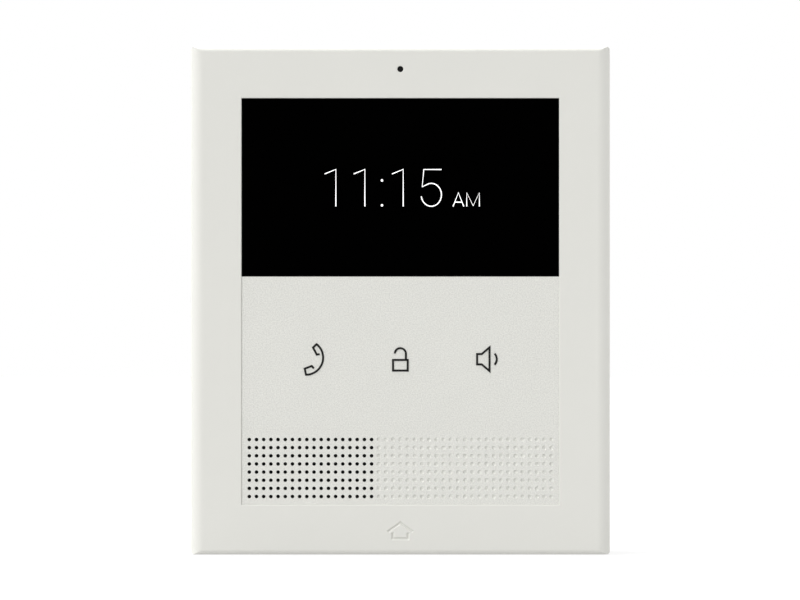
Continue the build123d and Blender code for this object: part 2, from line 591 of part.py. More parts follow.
with BuildPart() as speaker_surround:
    racetrack(37.8, 17.8, 22.6, 22.9)
    racetrack(31.0, 11.0, 22.6, 22.9, Mode.SUBTRACT)
    disc(COIL_RADIUS + 0.25, 22.6, 22.9, speaker_place, Mode.SUBTRACT)
speaker_surround.part.label = "speaker_surround"
export_step(speaker_surround.part, "parts/speaker_surround.step")

with BuildPart() as speaker_gasket:
    slab(44.0, 24.0, SPEAKER_FRONT, FLANGE_BACK, speaker_place, 4.0)
    slab(39.8, 20.0, SPEAKER_FRONT, FLANGE_BACK, speaker_place, 2.5, Mode.SUBTRACT)
speaker_gasket.part.label = "speaker_gasket"
export_step(speaker_gasket.part, "parts/speaker_gasket.step")

with BuildPart() as speaker_retainer:
    span(-51.5, -3.8, -72.0, -37.5, RETAINER_BACK, SPEAKER_FLANGE_BACK, 2.5)
    span(-59.6, -50.0, GRILLE_HEIGHT - 3, GRILLE_HEIGHT + 3, RETAINER_BACK, SPEAKER_FLANGE_BACK, 1.5)
    slab(40.4, 20.4, RETAINER_BACK, SPEAKER_FLANGE_BACK, speaker_place, 3.7, Mode.SUBTRACT)
    disc(1.1, RETAINER_BACK, SPEAKER_FLANGE_BACK, RETAINER_SCREW_PLACES, Mode.SUBTRACT)
speaker_retainer.part.label = "speaker_retainer"
export_step(speaker_retainer.part, "parts/speaker_retainer.step")

with BuildPart() as retainer_screws:
    screws(RETAINER_SCREW_PLACES, RETAINER_BACK - 1.4, 1.9, 1.4, 1.0, 4.2)
retainer_screws.part.label = "retainer_screws"
export_step(retainer_screws.part, "parts/retainer_screws.step")

speaker_right = SPEAKER_X + 20.0
speaker_header_bottom = -46.75
speaker_lead_depth = 19.4
with BuildPart() as speaker_leads:
    for drop, across in ((-54.0, 3.9), (-55.6, 5.5)):
        start = (speaker_right, -speaker_lead_depth, drop)
        corner = (across, -speaker_lead_depth, drop)
        end = (across, -speaker_lead_depth, speaker_header_bottom)
        lead((start, corner, end), 3.2, 0.4)
speaker_leads.part.label = "speaker_leads"
export_step(speaker_leads.part, "parts/speaker_leads.step")

# ---------------------------------------------------------------- microphone

capsule_back = 22.8
with BuildPart() as mic_boot:
    disc(MIC_BOOT_RADIUS, MIC_BACK, FRONT_WALL_BACK, [MIC_PLACE])
    disc(2.0, MIC_BACK, 24.6, [MIC_PLACE], Mode.SUBTRACT)
    disc(0.7, 24.6, FRONT_WALL_BACK, [MIC_PLACE], Mode.SUBTRACT)
mic_boot.part.label = "mic_boot"
export_step(mic_boot.part, "parts/mic_boot.step")

with BuildPart() as mic_capsule:
    disc(1.98, capsule_back, 24.6, [MIC_PLACE])
mic_capsule.part.label = "mic_capsule"
export_step(mic_capsule.part, "parts/mic_capsule.step")

mic_header_top = 58.0
with BuildPart() as mic_leads:
    for lead_x in (-0.7, 0.7):
        start = (lead_x, -capsule_back, MIC_PLACE[1])
        corner = (lead_x, -FLEX_DEPTH, MIC_PLACE[1])
        end = (lead_x, -FLEX_DEPTH, mic_header_top)
        lead((start, corner, end), 1.8, 0.3)
mic_leads.part.label = "mic_leads"
export_step(mic_leads.part, "parts/mic_leads.step")

# ---------------------------------------------------------------- circuit board

with BuildPart() as main_board:
    span(-BOARD_HALF_WIDTH, BOARD_HALF_WIDTH, BOARD_BOTTOM, BOARD_TOP, BOARD_BACK, BOARD_FRONT, 1.0)
    span(BOARD_LEG_LEFT, BOARD_HALF_WIDTH, BOARD_LEG_BOTTOM, BOARD_BOTTOM + 5, BOARD_BACK, BOARD_FRONT, 1.0)
    disc(1.4, BOARD_BACK, BOARD_FRONT, BOARD_SCREW_PLACES, Mode.SUBTRACT)
main_board.part.label = "main_board"
export_step(main_board.part, "parts/main_board.step")

with BuildPart() as board_screws:
    screws(BOARD_SCREW_PLACES, BOARD_BACK - 1.6, 2.2, 1.6, 1.25, 6.0)
board_screws.part.label = "board_screws"
export_step(board_screws.part, "parts/board_screws.step")

with BuildPart() as processor:
    slab(14.0, 14.0, BOARD_FRONT, BOARD_FRONT + 1.2, [(-18.0, 30.0)])
processor.part.label = "processor"
export_step(processor.part, "parts/processor.step")

with BuildPart() as memory_chips:
    slab(9.0, 13.0, BOARD_FRONT, BOARD_FRONT + 1.0, [(0.0, 30.0), (14.0, 30.0)])
memory_chips.part.label = "memory_chips"
export_step(memory_chips.part, "parts/memory_chips.step")

# Sockets for the two flat cables, and the wire headers of the loudspeaker and the microphone
with BuildPart() as board_connectors:
    flex_slot_back = FLEX_DEPTH - FLEX_THICKNESS / 2 - 0.05
    flex_slot_front = FLEX_DEPTH + FLEX_THICKNESS / 2 + 0.05
    span(-12.0, 12.0, 2.5, 7.0, BOARD_FRONT, BOARD_FRONT + 1.7)
    span(-10.2, 10.2, 2.5, 5.7, flex_slot_back, flex_slot_front, mode=Mode.SUBTRACT)
    span(13.5, 26.5, -21.0, -17.0, BOARD_FRONT, BOARD_FRONT + 1.7)
    span(15.3, 24.7, -21.0, -18.3, flex_slot_back, flex_slot_front, mode=Mode.SUBTRACT)
    span(1.7, 7.7, speaker_header_bottom, -40.5, BOARD_FRONT, BOARD_FRONT + 3.2)
    span(-2.5, 2.5, 54.0, mic_header_top, BOARD_FRONT, BOARD_FRONT + 2.4)
board_connectors.part.label = "board_connectors"
export_step(board_connectors.part, "parts/board_connectors.step")

with BuildPart() as network_transformer:
    span(-46.5, -30.5, 11.0, 21.5, BOARD_BACK - 6.4, BOARD_BACK, 0.5)
network_transformer.part.label = "network_transformer"
export_step(network_transformer.part, "parts/network_transformer.step")

with BuildPart() as power_transformer:
    span(34.0, 48.0, 12.0, 27.0, BOARD_BACK - 9.5, BOARD_BACK - 7.0)
    span(35.5, 46.5, 13.5, 25.5, BOARD_BACK - 7.0, BOARD_BACK - 2.5)
    span(34.0, 48.0, 12.0, 27.0, BOARD_BACK - 2.5, BOARD_BACK)
power_transformer.part.label = "power_transformer"
export_step(power_transformer.part, "parts/power_transformer.step")

with BuildPart() as capacitors:
    capacitor_places = [(36.5, 3.0), (46.0, 3.0), (36.5, -8.0)]
    disc(4.0, BOARD_BACK - 9.0, BOARD_BACK, capacitor_places)
    fillet(capacitors.faces().filter_by(Axis.Y).group_by(Axis.Y)[-1].edges(), radius=0.4)
capacitors.part.label = "capacitors"
export_step(capacitors.part, "parts/capacitors.step")

with BuildPart() as power_inductor:
    slab(7.4, 7.4, BOARD_BACK - 4.2, BOARD_BACK, [(47.0, -9.0)], 1.6)
power_inductor.part.label = "power_inductor"
export_step(power_inductor.part, "parts/power_inductor.step")

# ---------------------------------------------------------------- network jack

shell_skin = 0.3
plug_space_back = 6.8
plug_space_front = 13.6
with BuildPart() as network_jack_shell:
    span(jack_left, jack_right, JACK_BOTTOM, jack_top, JACK_BACK, BOARD_BACK)
    span(jack_left + shell_skin, jack_right - shell_skin, JACK_BOTTOM, jack_top - shell_skin,
         JACK_BACK + shell_skin, BOARD_BACK, mode=Mode.SUBTRACT)
network_jack_shell.part.label = "network_jack_shell"
export_step(network_jack_shell.part, "parts/network_jack_shell.step")

with BuildPart() as network_jack_insert:
    span(jack_left + shell_skin, jack_right - shell_skin, JACK_BOTTOM + 0.1, jack_top - shell_skin,
         JACK_BACK + shell_skin, BOARD_BACK)
    span(JACK_X - 5.9, JACK_X + 5.9, JACK_BOTTOM, JACK_BOTTOM + 13.0, plug_space_back, plug_space_front,
         mode=Mode.SUBTRACT)
    span(JACK_X - 3.2, JACK_X + 3.2, JACK_BOTTOM, JACK_BOTTOM + 9.0, 4.4, plug_space_back,
         mode=Mode.SUBTRACT)
network_jack_insert.part.label = "network_jack_insert"
export_step(network_jack_insert.part, "parts/network_jack_insert.step")

# Eight contacts that run along the board side of the socket and fold back into it
with BuildPart() as jack_contacts:
    for number in range(8):
        contact_left = JACK_X + (number - 3.5) * 1.02 - 0.2
        with BuildSketch(Plane.YZ.offset(contact_left)) as contact:
            with BuildLine():
                Polyline((-13.4, JACK_BOTTOM + 13.0), (-13.4, 9.2), (-12.4, 14.0))
            trace(line_width=0.35)
        extrude(contact.sketch, amount=0.4)
jack_contacts.part.label = "jack_contacts"
export_step(jack_contacts.part, "parts/jack_contacts.step")

# ---------------------------------------------------------------- screw terminals

pole_xs = [x + side * TERMINAL_PITCH / 2 for x in TERMINAL_XS for side in (-1, 1)]
with BuildPart() as terminal_headers:
    for terminal_x in TERMINAL_XS:
        span(terminal_x - 5.5, terminal_x + 5.5, HEADER_BOTTOM, 18.2, 7.0, BOARD_BACK)
        span(terminal_x - 4.8, terminal_x + 4.8, HEADER_BOTTOM, 16.6, TERMINAL_DEPTH - 2.7,
             TERMINAL_DEPTH + 2.7, mode=Mode.SUBTRACT)
terminal_headers.part.label = "terminal_headers"
export_step(terminal_headers.part, "parts/terminal_headers.step")

with BuildPart() as header_pins:
    for pole_x in pole_xs:
        span(pole_x - 0.5, pole_x + 0.5, 10.2, 16.6, TERMINAL_DEPTH - 0.5, TERMINAL_DEPTH + 0.5)
header_pins.part.label = "header_pins"
export_step(header_pins.part, "parts/header_pins.step")


def terminal_plug(terminal_x):
    """A pluggable two-pole terminal: tongue, body, pin sockets, wire entries and screw wells."""
    span(terminal_x - 4.6, terminal_x + 4.6, 8.0, 16.2, TERMINAL_DEPTH - 2.5, TERMINAL_DEPTH + 2.5)
    span(terminal_x - 5.45, terminal_x + 5.45, -5.5, 8.8, 5.0, 13.8, 0.4)
    for side in (-1, 1):
        pole_x = terminal_x + side * TERMINAL_PITCH / 2
        span(pole_x - 0.65, pole_x + 0.65, 9.6, 16.2, TERMINAL_DEPTH - 0.65, TERMINAL_DEPTH + 0.65,
             mode=Mode.SUBTRACT)
        span(pole_x - 1.3, pole_x + 1.3, -5.5, 3.5, TERMINAL_DEPTH - 1.2, TERMINAL_DEPTH + 1.4,
             mode=Mode.SUBTRACT)
        disc(1.6, 5.0, 7.2, [(pole_x, CLAMP_SCREW_HEIGHT)], Mode.SUBTRACT)
        disc(1.1, 7.2, TERMINAL_DEPTH - 1.2, [(pole_x, CLAMP_SCREW_HEIGHT)], Mode.SUBTRACT)


with BuildPart() as power_plug:
    terminal_plug(TERMINAL_XS[0])
power_plug.part.label = "power_plug"
export_step(power_plug.part, "parts/power_plug.step")

with BuildPart() as bell_plug:
    terminal_plug(TERMINAL_XS[1])
bell_plug.part.label = "bell_plug"
export_step(bell_plug.part, "parts/bell_plug.step")

# One slotted clamp screw for each pole
for plug_name, terminal_x in zip(("power", "bell"), TERMINAL_XS):
    for side_name, side in (("left", -1), ("right", 1)):
        pole_place = [(terminal_x + side * TERMINAL_PITCH / 2, CLAMP_SCREW_HEIGHT)]
        with BuildPart() as clamp_screw:
            disc(1.5, 5.2, 7.0, pole_place)
            disc(1.0, 7.0, 9.5, pole_place)
            slab(3.0, 0.5, 5.2, 5.9, pole_place, mode=Mode.SUBTRACT)
        clamp_screw.part.label = f"{plug_name}_clamp_screw_{side_name}"
        export_step(clamp_screw.part, f"parts/{plug_name}_clamp_screw_{side_name}.step")

# ---------------------------------------------------------------- reset switch

with BuildPart() as reset_switch:
    slab(6.0, 6.0, 12.5, BOARD_BACK, [RESET_PLACE], 0.4)
    disc(1.6, 12.5, 13.5, [RESET_PLACE], Mode.SUBTRACT)
reset_switch.part.label = "reset_switch"
export_step(reset_switch.part, "parts/reset_switch.step")

with BuildPart() as reset_button:
    disc(1.5, 11.0, 13.0, [RESET_PLACE])
    fillet(reset_button.faces().sort_by(Axis.Y)[-1].edges(), radius=0.2)
reset_button.part.label = "reset_button"
export_step(reset_button.part, "parts/reset_button.step")

# ---------------------------------------------------------------- wall bracket

# Pressed steel plate with wall-box slots, corner holes, two stiffening beads and four hooks
# bent forward from windows in the plate.
with BuildPart() as wall_bracket:
    slab(BRACKET_WIDTH, BRACKET_HEIGHT, 0, BRACKET_THICKNESS, corner=3.0)
    slab(BRACKET_OPENING, BRACKET_OPENING, 0, BRACKET_THICKNESS, corner=4.0, mode=Mode.SUBTRACT)
    with BuildSketch(facing(0)):
        with Locations((-WALL_BOX_PITCH / 2, 0), (WALL_BOX_PITCH / 2, 0)):
            SlotOverall(WALL_SLOT_LENGTH, WALL_SLOT_WIDTH)
        with Locations((0, -WALL_BOX_PITCH / 2), (0, WALL_BOX_PITCH / 2)):
            SlotOverall(WALL_SLOT_LENGTH, WALL_SLOT_WIDTH, rotation=90)
        with GridLocations(*CORNER_HOLE_PITCH, 2, 2):
            Circle(CORNER_HOLE_RADIUS)
    extrude(amount=BRACKET_THICKNESS, mode=Mode.SUBTRACT)
    bead_places = [(-47.0, 0), (47.0, 0)]
    slab(3.0, 96.0, 0, BRACKET_THICKNESS + 0.7, bead_places, 1.49)
    slab(1.4, 94.4, 0, 0.7, bead_places, 0.69, Mode.SUBTRACT)
    for hook_x, hook_z in HOOK_PLACES:
        hook_left = hook_x - HOOK_WIDTH / 2
        hook_right = hook_x + HOOK_WIDTH / 2
        arm_bottom = hook_z - BRACKET_THICKNESS / 2
        arm_top = hook_z + BRACKET_THICKNESS / 2
        span(hook_left - 0.5, hook_right + 0.5, arm_bottom, arm_top + 9.0, 0, BRACKET_THICKNESS,
             mode=Mode.SUBTRACT)
        with BuildSketch(Plane.YZ.offset(hook_left)) as hook:
            with BuildLine():
                arm = Line((0, hook_z), (-HOOK_REACH + BRACKET_THICKNESS, hook_z))
                nose_bend = JernArc(arm @ 1, arm % 1, BRACKET_THICKNESS / 2 + 0.05, -90)
                Line(nose_bend @ 1, ((nose_bend @ 1).X, arm_top + HOOK_NOSE))
            trace(line_width=BRACKET_THICKNESS)
        extrude(hook.sketch, amount=HOOK_WIDTH)
        span(hook_left, hook_right, arm_bottom - 0.6, arm_top, 0, BRACKET_THICKNESS)
wall_bracket.part.label = "wall_bracket"
export_step(wall_bracket.part, "parts/wall_bracket.step")
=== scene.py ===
"""The looks of a wall-hung video intercom monitor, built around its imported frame."""

from math import atan2, cos, pi, radians, sin

import bmesh
import bpy
from mathutils import Matrix, Vector


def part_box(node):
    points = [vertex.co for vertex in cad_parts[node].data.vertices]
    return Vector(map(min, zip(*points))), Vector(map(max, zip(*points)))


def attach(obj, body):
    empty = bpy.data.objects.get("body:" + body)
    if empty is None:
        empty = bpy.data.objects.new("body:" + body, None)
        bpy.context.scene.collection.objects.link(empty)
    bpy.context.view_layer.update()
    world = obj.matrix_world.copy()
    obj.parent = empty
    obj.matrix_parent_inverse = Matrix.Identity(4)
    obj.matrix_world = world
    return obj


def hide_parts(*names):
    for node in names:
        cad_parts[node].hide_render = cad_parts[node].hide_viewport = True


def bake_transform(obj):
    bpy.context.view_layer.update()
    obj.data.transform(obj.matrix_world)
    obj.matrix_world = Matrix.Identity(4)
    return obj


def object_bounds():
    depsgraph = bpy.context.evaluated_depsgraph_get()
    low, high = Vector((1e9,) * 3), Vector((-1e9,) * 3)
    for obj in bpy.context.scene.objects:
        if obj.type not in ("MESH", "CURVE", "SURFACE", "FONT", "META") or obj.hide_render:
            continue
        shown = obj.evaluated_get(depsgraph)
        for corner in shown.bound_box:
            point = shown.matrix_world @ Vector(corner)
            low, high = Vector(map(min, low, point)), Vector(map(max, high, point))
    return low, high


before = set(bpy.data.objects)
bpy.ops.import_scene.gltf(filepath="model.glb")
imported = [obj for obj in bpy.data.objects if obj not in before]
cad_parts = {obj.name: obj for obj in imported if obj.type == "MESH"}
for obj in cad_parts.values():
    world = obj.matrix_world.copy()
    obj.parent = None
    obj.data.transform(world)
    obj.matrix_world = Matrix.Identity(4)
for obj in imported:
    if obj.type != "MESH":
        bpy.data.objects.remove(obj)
cad_low, cad_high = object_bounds()

MM = 0.001

# ------------------------------------------------------------------ sizes, in millimetres

panel_low, panel_high = (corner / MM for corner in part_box("key_panel"))
lens_low, lens_high = (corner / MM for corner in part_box("display_lens"))

# Depths count forwards from the wall. The panel's flange lies under the front cover.
FACE_DEPTH = -panel_low.y
FLANGE_DEPTH = FACE_DEPTH - 1.7
PANEL_BACK_DEPTH = -panel_high.y
PANEL_FACE_HALF_WIDTH = 47.68
PANEL_FACE_BOTTOM = -61.3
PANEL_EDGE_ROUND = 0.04

# The left columns are drilled through and the right ones are blind dimples.
GRILLE_PITCH = Vector((2.16, 0, 2.445))
GRILLE_HEIGHT = -50.3
GRILLE_ROWS = 8
HOLE_COLUMNS = 18
DIMPLE_COLUMNS = 25
CELL_MARGIN = 0.35
RING_SIDES = 16
HOLE_RADIUS = 0.56
RIM_ROUND = 0.045
DIMPLE_RADIUS = 0.64
DIMPLE_STEPS = [(0.04, 0.05), (0.1, 0.13), (0.1, 0.06), (0.2, 0.01)]

# Behind the panel: the loudspeaker's pocket, and a round pocket for each key's light guide.
SPEAKER_POCKET = Vector((-27.0, 0, GRILLE_HEIGHT))
SPEAKER_POCKET_SIZE = Vector((39.6, 0, 19.8))
SPEAKER_POCKET_CORNER = 2.0
SPEAKER_POCKET_DEPTH = 26.6
GUIDE_POCKET_RADIUS = 5.9
GUIDE_POCKET_DEPTH = 26.9
KEY_CENTRES = [Vector((-26.2, 0, -17.7)), Vector((0, 0, -17.7)), Vector((26.0, 0, -17.6))]

NEAR = 0.001


def at_depth(depth, x=0.0, z=0.0):
    """A flat working plane that faces the room, so many millimetres in front of the wall."""
    return Matrix.Translation((x, -depth, z)) @ Matrix.Rotation(radians(90), 4, "X")


def open_edges(bm):
    """The edges that bound a hole or the outside of a sheet."""
    return [edge for edge in bm.edges if len(edge.link_faces) == 1]


def extruded(bm, edges):
    """Pulls a strip of new faces out of these edges and gives its far edges."""
    made = bmesh.ops.extrude_edge_only(bm, edges=edges)["geom"]
    return [item for item in made if isinstance(item, bmesh.types.BMEdge)]


def points_of(edges):
    """The points of these edges, each once."""
    return list({point for edge in edges for point in edge.verts})


def move_to_depth(edges, depth):
    """Sets how far in front of the wall these edges lie."""
    for point in points_of(edges):
        point.co.y = -depth


def disc(bm, sides, radius, thickness, place):
    """A flat round slab, half of its thickness in front of the place and half behind."""
    bmesh.ops.create_cone(
        bm, cap_ends=True, segments=sides, radius1=radius, radius2=radius, depth=thickness, matrix=place
    )


def as_piece(bm, name, body, finish, crease=40.0, creased=()):
    """Turns a millimetre bmesh into a closed object that rides on a body, if one is named. It shades
    smoothly, but not over edges that bend by more than the crease angle or are named as creased."""
    bmesh.ops.recalc_face_normals(bm, faces=bm.faces)
    for face in bm.faces:
        face.smooth = True
    for edge in bm.edges:
        edge.smooth = edge.calc_face_angle(pi) < radians(crease)
    for edge in creased:
        edge.smooth = False
    bmesh.ops.scale(bm, vec=(MM, MM, MM), verts=bm.verts)
    mesh = bpy.data.meshes.new(name)
    bm.to_mesh(mesh)
    bm.free()
    piece = bpy.data.objects.new(name, mesh)
    bpy.context.scene.collection.objects.link(piece)
    mesh.materials.append(finish)
    if body:
        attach(piece, body)
    return piece


# ------------------------------------------------------------------ node helpers


class Wiring:
    """Adds nodes to a tree and joins their sockets in one go."""

    def __init__(self, tree):
        self.tree = tree

    def node(self, kind, settings=None, **sockets):
        """A new node with its settings, and its sockets by name, each a value or a socket to join."""
        made = self.tree.nodes.new("ShaderNode" + kind)
        for name, value in (settings or {}).items():
            setattr(made, name, value)
        for name, value in sockets.items():
            self.set(made, name.replace("_", " "), value)
        return made

    def set(self, node, name, value):
        """Fills a socket, given by its name or as # and its number."""
        socket = node.inputs[int(name[1:])] if name[0] == "#" else node.inputs[name]
        if isinstance(value, bpy.types.NodeSocket):
            self.tree.links.new(value, socket)
        else:
            socket.default_value = value

    def math(self, operation, first, second=0.0, clamp=False):
        made = self.node("Math", {"operation": operation, "use_clamp": clamp})
        self.set(made, "#0", first)
        self.set(made, "#1", second)
        return made.outputs[0]

    def remap(self, value, low, high, to_low=0.0, to_high=1.0, smooth=False):
        """Stretches low to high onto another range, and holds it there outside them."""
        made = self.node("MapRange", {"interpolation_type": "SMOOTHSTEP" if smooth else "LINEAR"})
        sockets = (value, low, high, to_low, to_high)
        for name, setting in zip(("Value", "From Min", "From Max", "To Min", "To Max"), sockets):
            self.set(made, name, setting)
        return made.outputs["Result"]

    def blend(self, factor, first, second, mode="MIX"):
        made = self.node("Mix", {"data_type": "RGBA", "blend_type": mode})
        self.set(made, "#0", factor)
        self.set(made, "#6", first)
        self.set(made, "#7", second)
        return made.outputs[2]

    def place(self):
        return self.node("TexCoord").outputs["Object"]

    def stretched(self, scale):
        """The place on the object, scaled by a different amount along each axis."""
        made = self.node("Mapping")
        self.set(made, "Vector", self.place())
        self.set(made, "Scale", scale)
        return made.outputs["Vector"]


def effect(name, inputs, outputs, build):
    """A shader node group with named sockets. build gets the wiring and the input sockets."""
    group = bpy.data.node_groups.new(name, "ShaderNodeTree")
    for title, kind, value in inputs:
        socket = group.interface.new_socket(title, in_out="INPUT", socket_type="NodeSocket" + kind)
        socket.default_value = value
    for title, kind in outputs:
        group.interface.new_socket(title, in_out="OUTPUT", socket_type="NodeSocket" + kind)
    wiring = Wiring(group)
    entry = group.nodes.new("NodeGroupInput")
    leave = group.nodes.new("NodeGroupOutput")
    for title, socket in build(wiring, entry.outputs).items():
        group.links.new(socket, leave.inputs[title])
    return group


# ------------------------------------------------------------------ shared surface effects


def build_mould_grain(w, given):
    """The spark-eroded texture of a mould: rounded grains with finer ones between them."""
    coarse = w.node("TexNoise", Vector=w.place(), Scale=given["Scale"], Detail=1.0, Roughness=0.5)
    fine_scale = w.math("MULTIPLY", given["Scale"], 2.7)
    cells = {"feature": "SMOOTH_F1"}
    fine = w.node("TexVoronoi", cells, Vector=w.place(), Scale=fine_scale, Smoothness=0.6)
    pits = w.math("MULTIPLY", fine.outputs["Distance"], -0.45)
    return {"Height": w.math("ADD", coarse.outputs["Fac"], pits)}


def build_tone(w, given):
    """Slight unevenness of a moulded or coated surface, in colour and in gloss."""
    wide = w.node("TexNoise", Vector=w.place(), Scale=given["Scale"], Detail=3.0, Roughness=0.55)
    shade = w.remap(wide.outputs["Fac"], 0.3, 0.7)
    darker = w.blend(given["Amount"], given["Colour"], (0.0, 0.0, 0.0, 1.0))
    colour = w.blend(shade, given["Colour"], darker)
    swing = w.math("MULTIPLY", w.math("SUBTRACT", shade, 0.5), given["Gloss Swing"])
    return {"Colour": colour, "Roughness": w.math("ADD", given["Roughness"], swing, clamp=True)}


def build_edge_wear(w, given):
    """Where an edge stands out, rubbed a little by handling."""
    rounded = w.node("Bevel", {"samples": 6}, Radius=given["Radius"])
    flat = w.node("NewGeometry").outputs["Normal"]
    dot = w.node("VectorMath", {"operation": "DOT_PRODUCT"})
    w.set(dot, "#0", rounded.outputs["Normal"])
    w.set(dot, "#1", flat)
    bend = w.remap(dot.outputs["Value"], 0.98, 0.8)
    patches = w.node("TexNoise", Vector=w.place(), Scale=900.0, Detail=2.0)
    patchy = w.remap(patches.outputs["Fac"], 0.3, 0.65)
    return {"Mask": w.math("MULTIPLY", bend, patchy, clamp=True)}


def build_weave(w, given):
    """Over-and-under threads of a fine cloth, running along X and Z."""
    split = w.node("SeparateXYZ", Vector=w.place())
    turns = w.math("DIVIDE", 2 * pi, given["Pitch"])
    warp = w.math("SINE", w.math("MULTIPLY", split.outputs["X"], turns))
    weft = w.math("SINE", w.math("MULTIPLY", split.outputs["Z"], turns))
    over = w.math("MULTIPLY", warp, weft)
    threads = w.math("MAXIMUM", w.math("ABSOLUTE", warp), w.math("ABSOLUTE", weft))
    height = w.math("ADD", w.math("MULTIPLY", threads, 0.7), w.math("MULTIPLY", over, 0.3))
    return {"Height": height, "Gap": w.remap(threads, 0.45, 0.15)}


MOULD_GRAIN = effect(
    "Mould grain",
    [("Scale", "Float", 2000.0)],
    [("Height", "Float")],
    build_mould_grain,
)
TONE = effect(
    "Uneven tone",
    [
        ("Colour", "Color", (0.8, 0.8, 0.8, 1.0)),
        ("Amount", "Float", 0.05),
        ("Scale", "Float", 60.0),
        ("Roughness", "Float", 0.5),
        ("Gloss Swing", "Float", 0.05),
    ],
    [("Colour", "Color"), ("Roughness", "Float")],
    build_tone,
)
EDGE_WEAR = effect(
    "Edge wear",
    [("Radius", "Float", 0.0002)],
    [("Mask", "Float")],
    build_edge_wear,
)
WEAVE = effect(
    "Plain weave",
    [("Pitch", "Float", 0.0004)],
    [("Height", "Float"), ("Gap", "Float")],
    build_weave,
)


class Finish:
    """One material: a Principled shader with the wiring that feeds it."""

    def __init__(self, name, **shader_sockets):
        self.material = bpy.data.materials.new(name)
        self.material.use_nodes = True
        self.material.node_tree.nodes.clear()
        self.w = Wiring(self.material.node_tree)
        self.shader = self.w.node("BsdfPrincipled", **shader_sockets)
        self.w.node("OutputMaterial", Surface=self.shader.outputs["BSDF"])

    def group(self, tree, **sockets):
        """Places a shared effect and gives its outputs."""
        made = self.w.node("Group", {"node_tree": tree})
        for name, value in sockets.items():
            self.w.set(made, name.replace("_", " "), value)
        return made.outputs

    def toned(self, colour, roughness, amount=0.05, scale=60.0, swing=0.06):
        """Feeds colour and roughness with a slight unevenness."""
        out = self.group(
            TONE, Colour=(*colour, 1.0), Amount=amount, Scale=scale, Roughness=roughness, Gloss_Swing=swing
        )
        self.colour(out["Colour"])
        self.w.set(self.shader, "Roughness", out["Roughness"])
        return out["Colour"]

    def uneven_gloss(self, roughness, scale=60.0, swing=0.06):
        """Feeds roughness alone with a slight unevenness."""
        out = self.group(TONE, Scale=scale, Roughness=roughness, Gloss_Swing=swing)
        self.w.set(self.shader, "Roughness", out["Roughness"])

    def colour(self, socket):
        self.w.set(self.shader, "Base Color", socket)

    def bump(self, height, depth):
        """Relief of a depth in metres."""
        bump = self.w.node("Bump", Strength=1.0, Distance=depth, Height=height)
        self.w.set(self.shader, "Normal", bump.outputs["Normal"])

    def grained(self, scale, depth):
        """The mould's grain as relief. Gives its height for use in the colour."""
        out = self.group(MOULD_GRAIN, Scale=scale)
        self.bump(out["Height"], depth)
        return out["Height"]


# ------------------------------------------------------------------ plastics


def cover_plastic():
    """Off-white ABS with a fine satin spark finish."""
    made = Finish("Off-white satin ABS", Specular_IOR_Level=0.42)
    made.toned((0.79, 0.787, 0.742), 0.5, amount=0.012, scale=45.0, swing=0.04)
    made.grained(3500.0, 0.000012)
    return made.material


def panel_plastic():
    """The same off-white with a coarser grain on the touch surface, with painted shade darkening its pits.
    """
    made = Finish("Off-white grained ABS", Specular_IOR_Level=0.36)
    colour = made.toned((0.882, 0.881, 0.831), 0.56, amount=0.012, scale=45.0, swing=0.04)
    height = made.grained(2600.0, 0.00008)
    # Painted shade: the colour is darkened where the grain is low, in its pits.
    pit_shade = made.w.blend(0.22, colour, (0.0, 0.0, 0.0, 1.0))
    made.colour(made.w.blend(made.w.remap(height, 0.0, 0.6), pit_shade, colour))
    return made.material


def moulded(name, colour, roughness, grain=2600.0, depth=0.00001, amount=0.06):
    """A small technical moulding with a fine grain."""
    made = Finish(name, Specular_IOR_Level=0.45)
    made.toned(colour, roughness, amount=amount, scale=140.0, swing=0.08)
    made.grained(grain, depth)
    return made.material


def frosted_resin():
    """Clear resin with a frosted face and a faint flow pattern in its gloss."""
    made = Finish("Frosted clear resin", IOR=1.5, Transmission_Weight=1.0)
    made.toned((0.92, 0.94, 0.95), 0.22, amount=0.03, scale=90.0, swing=0.05)
    return made.material


def lens_black():
    """Black-backed display window: deep gloss with a faint wiped haze."""
    made = Finish("Gloss black window", Specular_IOR_Level=0.42)
    made.toned((0.0003, 0.0003, 0.0003), 0.035, amount=0.3, scale=25.0, swing=0.03)
    return made.material


def icon_ink():
    """The dark resin of the touch symbols."""
    made = Finish("Dark symbol resin", Specular_IOR_Level=0.3)
    made.toned((0.0075, 0.0075, 0.0068), 0.42, amount=0.15, scale=400.0, swing=0.1)
    made.grained(5000.0, 0.000006)
    return made.material


def display_glass():
    """The unlit display cell under the window."""
    made = Finish("Display cell glass", Specular_IOR_Level=0.5)
    made.toned((0.012, 0.014, 0.018), 0.08, amount=0.3, scale=30.0, swing=0.03)
    return made.material


DISPLAY_DOT = 0.000198


def clock_light():
    """White light of the lit strokes, with the faint stripes of the display's dots."""
    made = Finish("Lit display strokes", Roughness=0.4, Emission_Strength=1.0)
    split = made.w.node("SeparateXYZ", Vector=made.w.place())
    stripes = made.w.math("SINE", made.w.math("MULTIPLY", split.outputs["X"], 2 * pi / DISPLAY_DOT))
    lit = made.w.remap(stripes, -1.0, 1.0, 0.88, 1.0)
    made.colour((0.8, 0.8, 0.8, 1.0))
    glow = made.w.node("CombineColor", Red=lit, Green=lit, Blue=lit)
    made.w.set(made.shader, "Emission Color", glow.outputs["Color"])
    return made.material


# ------------------------------------------------------------------ soft and sheet materials


def mesh_cloth():
    """Fine black cloth that lets sound through and keeps dust out."""
    made = Finish("Black acoustic cloth", Roughness=0.85, Specular_IOR_Level=0.2)
    weave = made.group(WEAVE, Pitch=0.0005)
    thread = (0.007, 0.007, 0.0073, 1.0)
    # Painted shade: the gaps between the threads are coloured darker than the threads.
    made.colour(made.w.blend(weave["Gap"], thread, (0.002, 0.002, 0.002, 1.0)))
    made.bump(weave["Height"], 0.00008)
    return made.material


